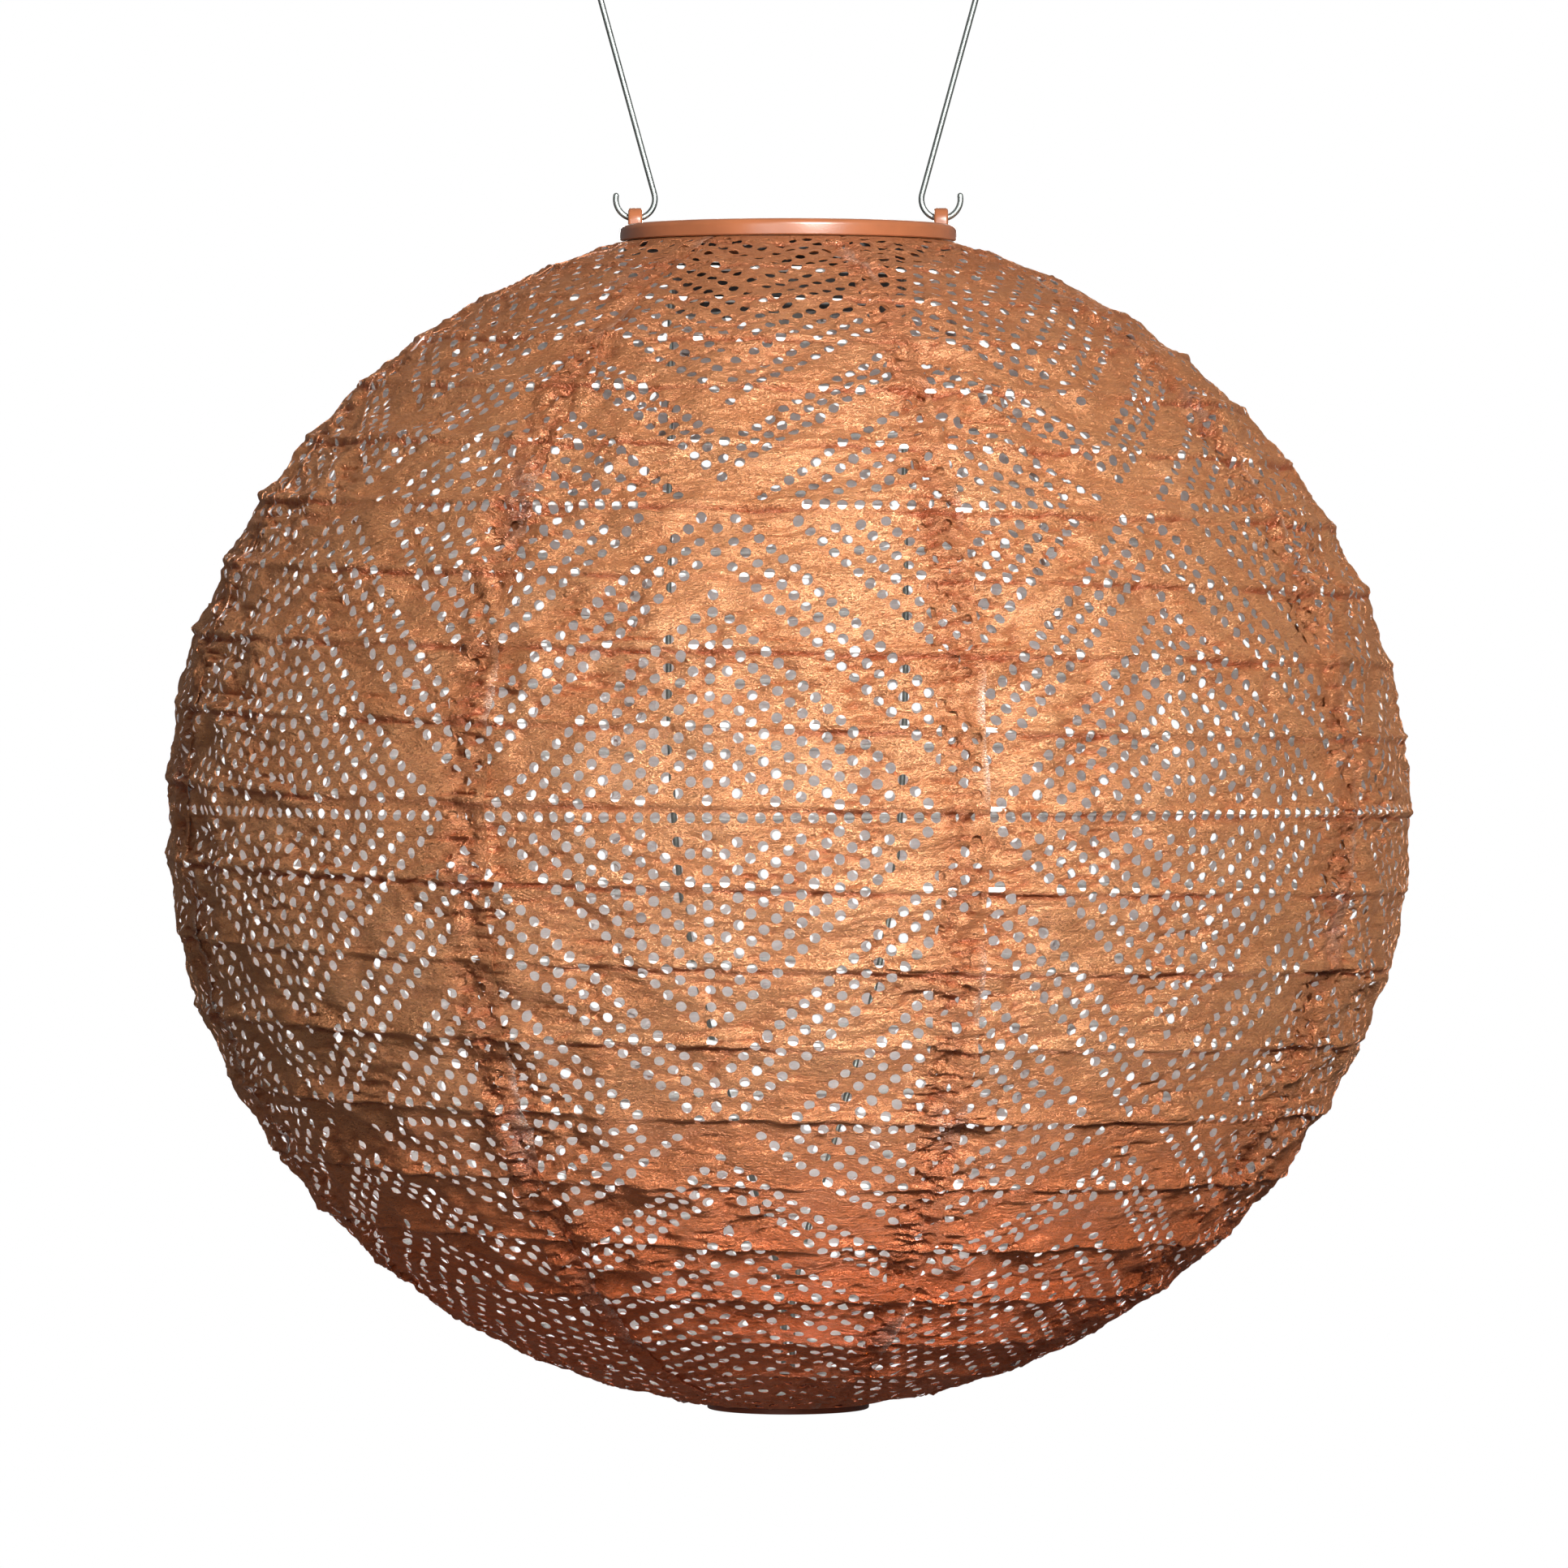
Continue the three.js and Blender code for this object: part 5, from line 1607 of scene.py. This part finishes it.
@dataclass
class Hub:
    """The moulded rim in the globe's base, with a bar across it and a pocket for the stretcher's foot."""

    neck: Neck
    rim: float = 27.4 * MM
    bore: float = 22 * MM
    flange: float = 33 * MM
    flange_thick: float = 1.8 * MM
    bar: float = 7 * MM
    bar_thick: float = 4 * MM
    boss: float = 5.6 * MM
    pocket: float = 7 * MM
    pocket_size: tuple[float, float] = (6 * MM, 2.6 * MM)
    shelf: float = 2.6 * MM

    def build(self, finishes: dict[str, bpy.types.Material]) -> None:
        """Turns the rim, adds the bar and the boss, cuts the pocket and dresses it.

        Args:
            finishes: every finish, by its slot.
        """
        low, high = (corner[2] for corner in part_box("bottom_hub"))
        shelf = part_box("shade_gore_1")[0][2] + self.shelf
        outline = [
            (self.bore, low), (self.rim, low), (self.rim, shelf), (self.flange, shelf),
            (self.flange, shelf + self.flange_thick), (self.bore, shelf + self.flange_thick),
        ]
        body = turned("base_hub", rounded(outline, 0.5 * MM), 128)
        reach = (self.bore + self.rim) / 2
        bar = slab("bar", (-reach, -self.bar / 2, low), (reach, self.bar / 2, low + self.bar_thick), 0.6 * MM)
        boss = self.neck.upright("boss", 0, 0, low + 0.2 * MM, high, self.boss)
        x, y = (side / 2 for side in self.pocket_size)
        pocket = slab("pocket", (-x, -y, high - self.pocket), (x, y, high + 2 * MM), 0.2 * MM)
        piece = joined(body, [(Join.ADD, bar), (Join.ADD, boss), (Join.CUT, pocket)])
        place = np.empty(len(piece.data.vertices) * 3, dtype=np.float32)
        piece.data.vertices.foreach_get("co", place)
        turned_place = spun(place.reshape(-1, 3), self.neck.stretcher_turn)
        piece.data.vertices.foreach_set("co", turned_place.astype(np.float32).ravel())
        piece.data.update()
        dress(piece, finishes["hub_plastic"])
        register(piece, Body.LANTERN, "brown_plastic", "bottom_hub")


# ------------------------------------------------------------------ the solar light module


@dataclass
class LightModule:
    """The black can that drops into the neck ring, with its panel, cell, board, light and switch."""

    neck: Neck
    plug: float = 43.6 * MM
    can: float = 38.6 * MM
    wall: float = 1.8 * MM
    cover_drop: float = 0.2 * MM
    cover_thick: float = 2.7 * MM
    panel_side: float = 54 * MM
    panel_gap: float = 0.3 * MM
    lead_hole: float = 2.6 * MM
    lead_hole_y: float = -12 * MM

    def cover(self) -> bpy.types.Object:
        """The round lid with a square recess for the panel and a rim that plugs into the can.

        Returns:
            The closed solid.
        """
        top = self.neck.top - self.cover_drop
        bottom = top - self.cover_thick
        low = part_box("module_cover")[0][2]
        rim_out = self.can - self.wall - 0.4 * MM
        rim_in = rim_out - 1.5 * MM
        outline = np.concatenate(
            [
                np.array([[0, bottom], [rim_in, bottom], [rim_in, low]]),
                np.array([[rim_out, low], [rim_out, bottom], [self.plug - 0.3 * MM, bottom]]),
                rounded([(self.plug, bottom), (self.plug, top)], 0.5 * MM)[:-1],
                np.array([[self.plug - 0.8 * MM, top], [0, top]]),
            ]
        )
        body = turned("module_lid", outline, 160)
        half = self.panel_side / 2 + self.panel_gap
        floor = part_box("solar_panel")[0][2] - 0.3 * MM
        recess = slab("recess", (-half, -half, floor), (half, half, top + 3 * MM), 0.3 * MM)
        hole = self.neck.upright(
            "hole", 0, self.lead_hole_y, bottom - 1 * MM, floor + 1 * MM, self.lead_hole
        )
        return joined(body, [(Join.CUT, recess), (Join.CUT, hole)])

    def build(self, finishes: dict[str, bpy.types.Material]) -> None:
        """Makes the lid and the panel, and dresses the parts kept from the frame.

        Args:
            finishes: every finish, by its slot.
        """
        lid = self.cover()
        dress(lid, finishes["black_plastic"])
        register(lid, Body.MODULE, "black_plastic", "module_cover")
        low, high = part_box("solar_panel")
        panel = slab("solar_cells", tuple(low), tuple(high), 0.35 * MM)
        dress(panel, finishes["solar_panel"])
        register(panel, Body.MODULE, "solar_panel", "solar_panel")
        kept = {
            "black_plastic": ("module_housing", "battery_door", "switch_body"),
            "gasket_rubber": ("cover_gasket",),
            "bright_steel": (
                "door_screw", "battery_spring", "battery_plate", "board_screw_1", "board_screw_2",
            ),
            "cell_wrap": ("battery",),
            "board": ("circuit_board",),
            "clear_lens": ("light_diode",),
            "frosted_plastic": ("diffuser",),
            "switch_plastic": ("switch_slider",),
            "lead_red": ("panel_lead_red",),
            "lead_black": ("panel_lead_black",),
        }
        for finish, names in kept.items():
            for name in names:
                dress(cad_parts[name], finishes[finish])
                log.info("%s: kept from the frame, in %s", name, finish)


# ------------------------------------------------------------------ the studio


@dataclass(frozen=True)
class Lamp:
    """A square soft light with a grid in front of it, aimed at the globe."""

    name: str
    place: Triple
    size: float
    power: float
    tint: Triple
    grid: float = 44.0

    def build(self, aim: Vector) -> None:
        """Hangs the lamp and turns it to a point.

        Args:
            aim: the point it looks at.
        """
        data = bpy.data.lights.new(self.name, "AREA")
        data.size = self.size
        data.spread = math.radians(self.grid)
        data.energy = self.power
        data.color = self.tint
        lamp = bpy.data.objects.new(self.name, data)
        bpy.context.scene.collection.objects.link(lamp)
        lamp.location = self.place
        lamp.rotation_euler = (aim - lamp.location).to_track_quat("-Z", "Y").to_euler()


@dataclass(frozen=True)
class Studio:
    """A pale floor far below, soft white light all round, and the camera."""

    distance: float = 2.93
    eye_above_equator: float = 61 * MM
    eye_x: float = -1.4 * MM
    lens: float = 199.0
    sensor: float = 36.0
    tilt: float = 1.007
    floor_below: float = 0.9
    floor_rings: tuple[float, ...] = (0.0, 0.5, 1.0, 2.0, 4.0, 6.0)
    floor_facets: int = 64
    floor_dark: Triple = (0.30, 0.30, 0.30)
    floor_light: Triple = (0.34, 0.34, 0.34)
    floor_paper: Triple = (0.97, 0.97, 0.96)
    floor_glow: float = 0.6
    surround: float = 0.19
    surround_low: tuple[float, float] = (0.28, 0.25)
    surround_full: tuple[float, float] = (0.5, 1.0)
    aim: Triple = (0.0, 0.0, -0.376)
    lamps: tuple[Lamp, ...] = (
        Lamp("key", (0.75, -2.2, 0.65), 0.6, 10.2, (1.0, 0.99, 0.97)),
        Lamp("fill", (-0.7, -2.8, 0.0), 1.0, 1.5, (0.98, 0.99, 1.0)),
        Lamp("back", (0.0, 2.6, -0.1), 0.7, 4.5, (1.0, 0.99, 0.97)),
    )

    def floor(self) -> None:
        """A large pale disc, (r cos a, r sin a), that sends little light up under the globe."""
        z = CAD_BOX[0][2] - self.floor_below
        radius = np.array(self.floor_rings)[:, None]
        angle = np.linspace(0, 2 * np.pi, self.floor_facets, endpoint=False)[None]
        places = (radius * np.cos(angle), radius * np.sin(angle), np.full((1, 1), z))
        points = np.stack(np.broadcast_arrays(*places), axis=-1).reshape(-1, 3)
        faces = grid_faces(len(self.floor_rings), self.floor_facets, False, True)
        piece = weld(put_mesh("studio_floor", points, faces))
        pen = NodePen("pale_floor")
        cloud = pen.noise(pen.place((3.0,) * 3), 3)
        colour = pen.blend(pen.span(cloud, 0.3, 0.7), self.floor_dark, self.floor_light)
        seen = pen.add("LightPath", {}).outputs["Is Camera Ray"]
        glow = pen.math("MULTIPLY", seen, self.floor_glow)
        dress(
            piece,
            pen.set(
                Base_Color=colour, Roughness=0.8, Emission_Color=self.floor_paper, Emission_Strength=glow
            ),
        )

    def sky(self) -> None:
        """A white surround that looks even, and lights most at eye level and least from underneath."""
        world = bpy.data.worlds.new("studio")
        world.use_nodes = True
        bpy.context.scene.world = world
        tree = world.node_tree
        tree.nodes.clear()
        output = tree.nodes.new("ShaderNodeOutputWorld")
        light, backdrop = (tree.nodes.new("ShaderNodeBackground") for _ in range(2))
        light.inputs["Strength"].default_value = self.surround
        backdrop.inputs["Color"].default_value = (1.0, 1.0, 1.0, 1.0)
        ramp = tree.nodes.new("ShaderNodeValToRGB")
        for stop, (place, grey) in zip(ramp.color_ramp.elements, (self.surround_low, self.surround_full)):
            stop.position = place
            stop.color = (grey, grey, grey, 1)
        split = tree.nodes.new("ShaderNodeSeparateXYZ")
        place = tree.nodes.new("ShaderNodeTexCoord")
        half = tree.nodes.new("ShaderNodeMath")
        half.operation = "MULTIPLY_ADD"
        half.inputs[1].default_value = 0.5
        half.inputs[2].default_value = 0.5
        seen = tree.nodes.new("ShaderNodeLightPath")
        choice = tree.nodes.new("ShaderNodeMixShader")
        for source, target in (
            (place.outputs["Generated"], split.inputs[0]),
            (split.outputs["Z"], half.inputs[0]),
            (half.outputs[0], ramp.inputs[0]),
            (ramp.outputs[0], light.inputs["Color"]),
            (seen.outputs["Is Camera Ray"], choice.inputs[0]),
            (light.outputs[0], choice.inputs[1]),
            (backdrop.outputs[0], choice.inputs[2]),
            (choice.outputs[0], output.inputs[0]),
        ):
            tree.links.new(source, target)

    def camera(self, equator: float) -> None:
        """A long lens at the front, level with the globe's upper half and tipped slightly down.

        Args:
            equator: the height of the globe's equator.
        """
        data = bpy.data.cameras.new("camera")
        data.lens = self.lens
        data.sensor_width = self.sensor
        data.clip_end = 50.0
        camera = bpy.data.objects.new("camera", data)
        bpy.context.scene.collection.objects.link(camera)
        camera.location = (self.eye_x, -self.distance, equator + self.eye_above_equator)
        camera.rotation_euler = (math.radians(90 - self.tilt), 0, 0)
        bpy.context.scene.camera = camera

    def build(self, equator: float) -> None:
        """Sets the studio up.

        Args:
            equator: the height of the globe's equator.
        """
        bpy.context.scene.view_settings.view_transform = "Standard"
        self.floor()
        self.sky()
        for lamp in self.lamps:
            lamp.build(Vector(self.aim))
        self.camera(equator)


def finishes() -> dict[str, bpy.types.Material]:
    """Every finish of the lantern, by its slot.

    Returns:
        Each material, by its slot.
    """
    plain = {
        "copper_sheet": CopperSheet(),
        "white_lining": WhiteLining(),
        "brown_plastic": MouldedPlastic("brown_plastic", (0.265, 0.086, 0.034), 0.34, coat=0.15),
        "hub_plastic": MouldedPlastic("hub_plastic", (0.22, 0.045, 0.014), 0.45),
        "black_plastic": MouldedPlastic("black_plastic", (0.014, 0.014, 0.015), 0.45, 900.0, 0.05 * MM),
        "gasket_rubber": MouldedPlastic("gasket_rubber", (0.022, 0.022, 0.022), 0.8),
        "switch_plastic": MouldedPlastic("switch_plastic", (0.55, 0.55, 0.53), 0.45),
        "cell_wrap": MouldedPlastic("cell_wrap", (0.05, 0.22, 0.08), 0.3),
        "board": MouldedPlastic("board", (0.02, 0.13, 0.045), 0.35),
        "lead_red": MouldedPlastic("lead_red", (0.45, 0.02, 0.015), 0.45),
        "lead_black": MouldedPlastic("lead_black", (0.012, 0.012, 0.012), 0.45),
        "white_wire": DrawnMetal("white_wire", (0.86, 0.86, 0.84), 0.45, 0.0),
        "galvanised_wire": DrawnMetal("galvanised_wire", (0.33, 0.36, 0.345), 0.42),
        "stretcher_steel": DrawnMetal("stretcher_steel", (0.30, 0.33, 0.31), 0.42),
        "bright_steel": DrawnMetal("bright_steel", (0.72, 0.71, 0.68), 0.22),
        "solar_panel": SolarCells(),
        "clear_lens": ClearMoulding("clear_lens", (0.95, 0.92, 0.80), 0.05, 0.9),
        "frosted_plastic": ClearMoulding("frosted_plastic", (0.90, 0.89, 0.86), 0.5, 0.55),
    }
    return {name: finish.material() for name, finish in plain.items()}


def main() -> None:
    """Builds the lantern and its studio in order."""
    logging.basicConfig(level=logging.INFO, format="%(name)s: %(message)s")
    made = finishes()
    shade = Shade()
    neck = Neck()
    shade.build(made)
    neck.build(made)
    Bail(neck).build(made)
    Stretcher(neck, shade.globe).build(made)
    Hub(neck).build(made)
    LightModule(neck).build(made)
    Studio().build(shade.globe.equator)


if __name__ == "__main__":
    main()
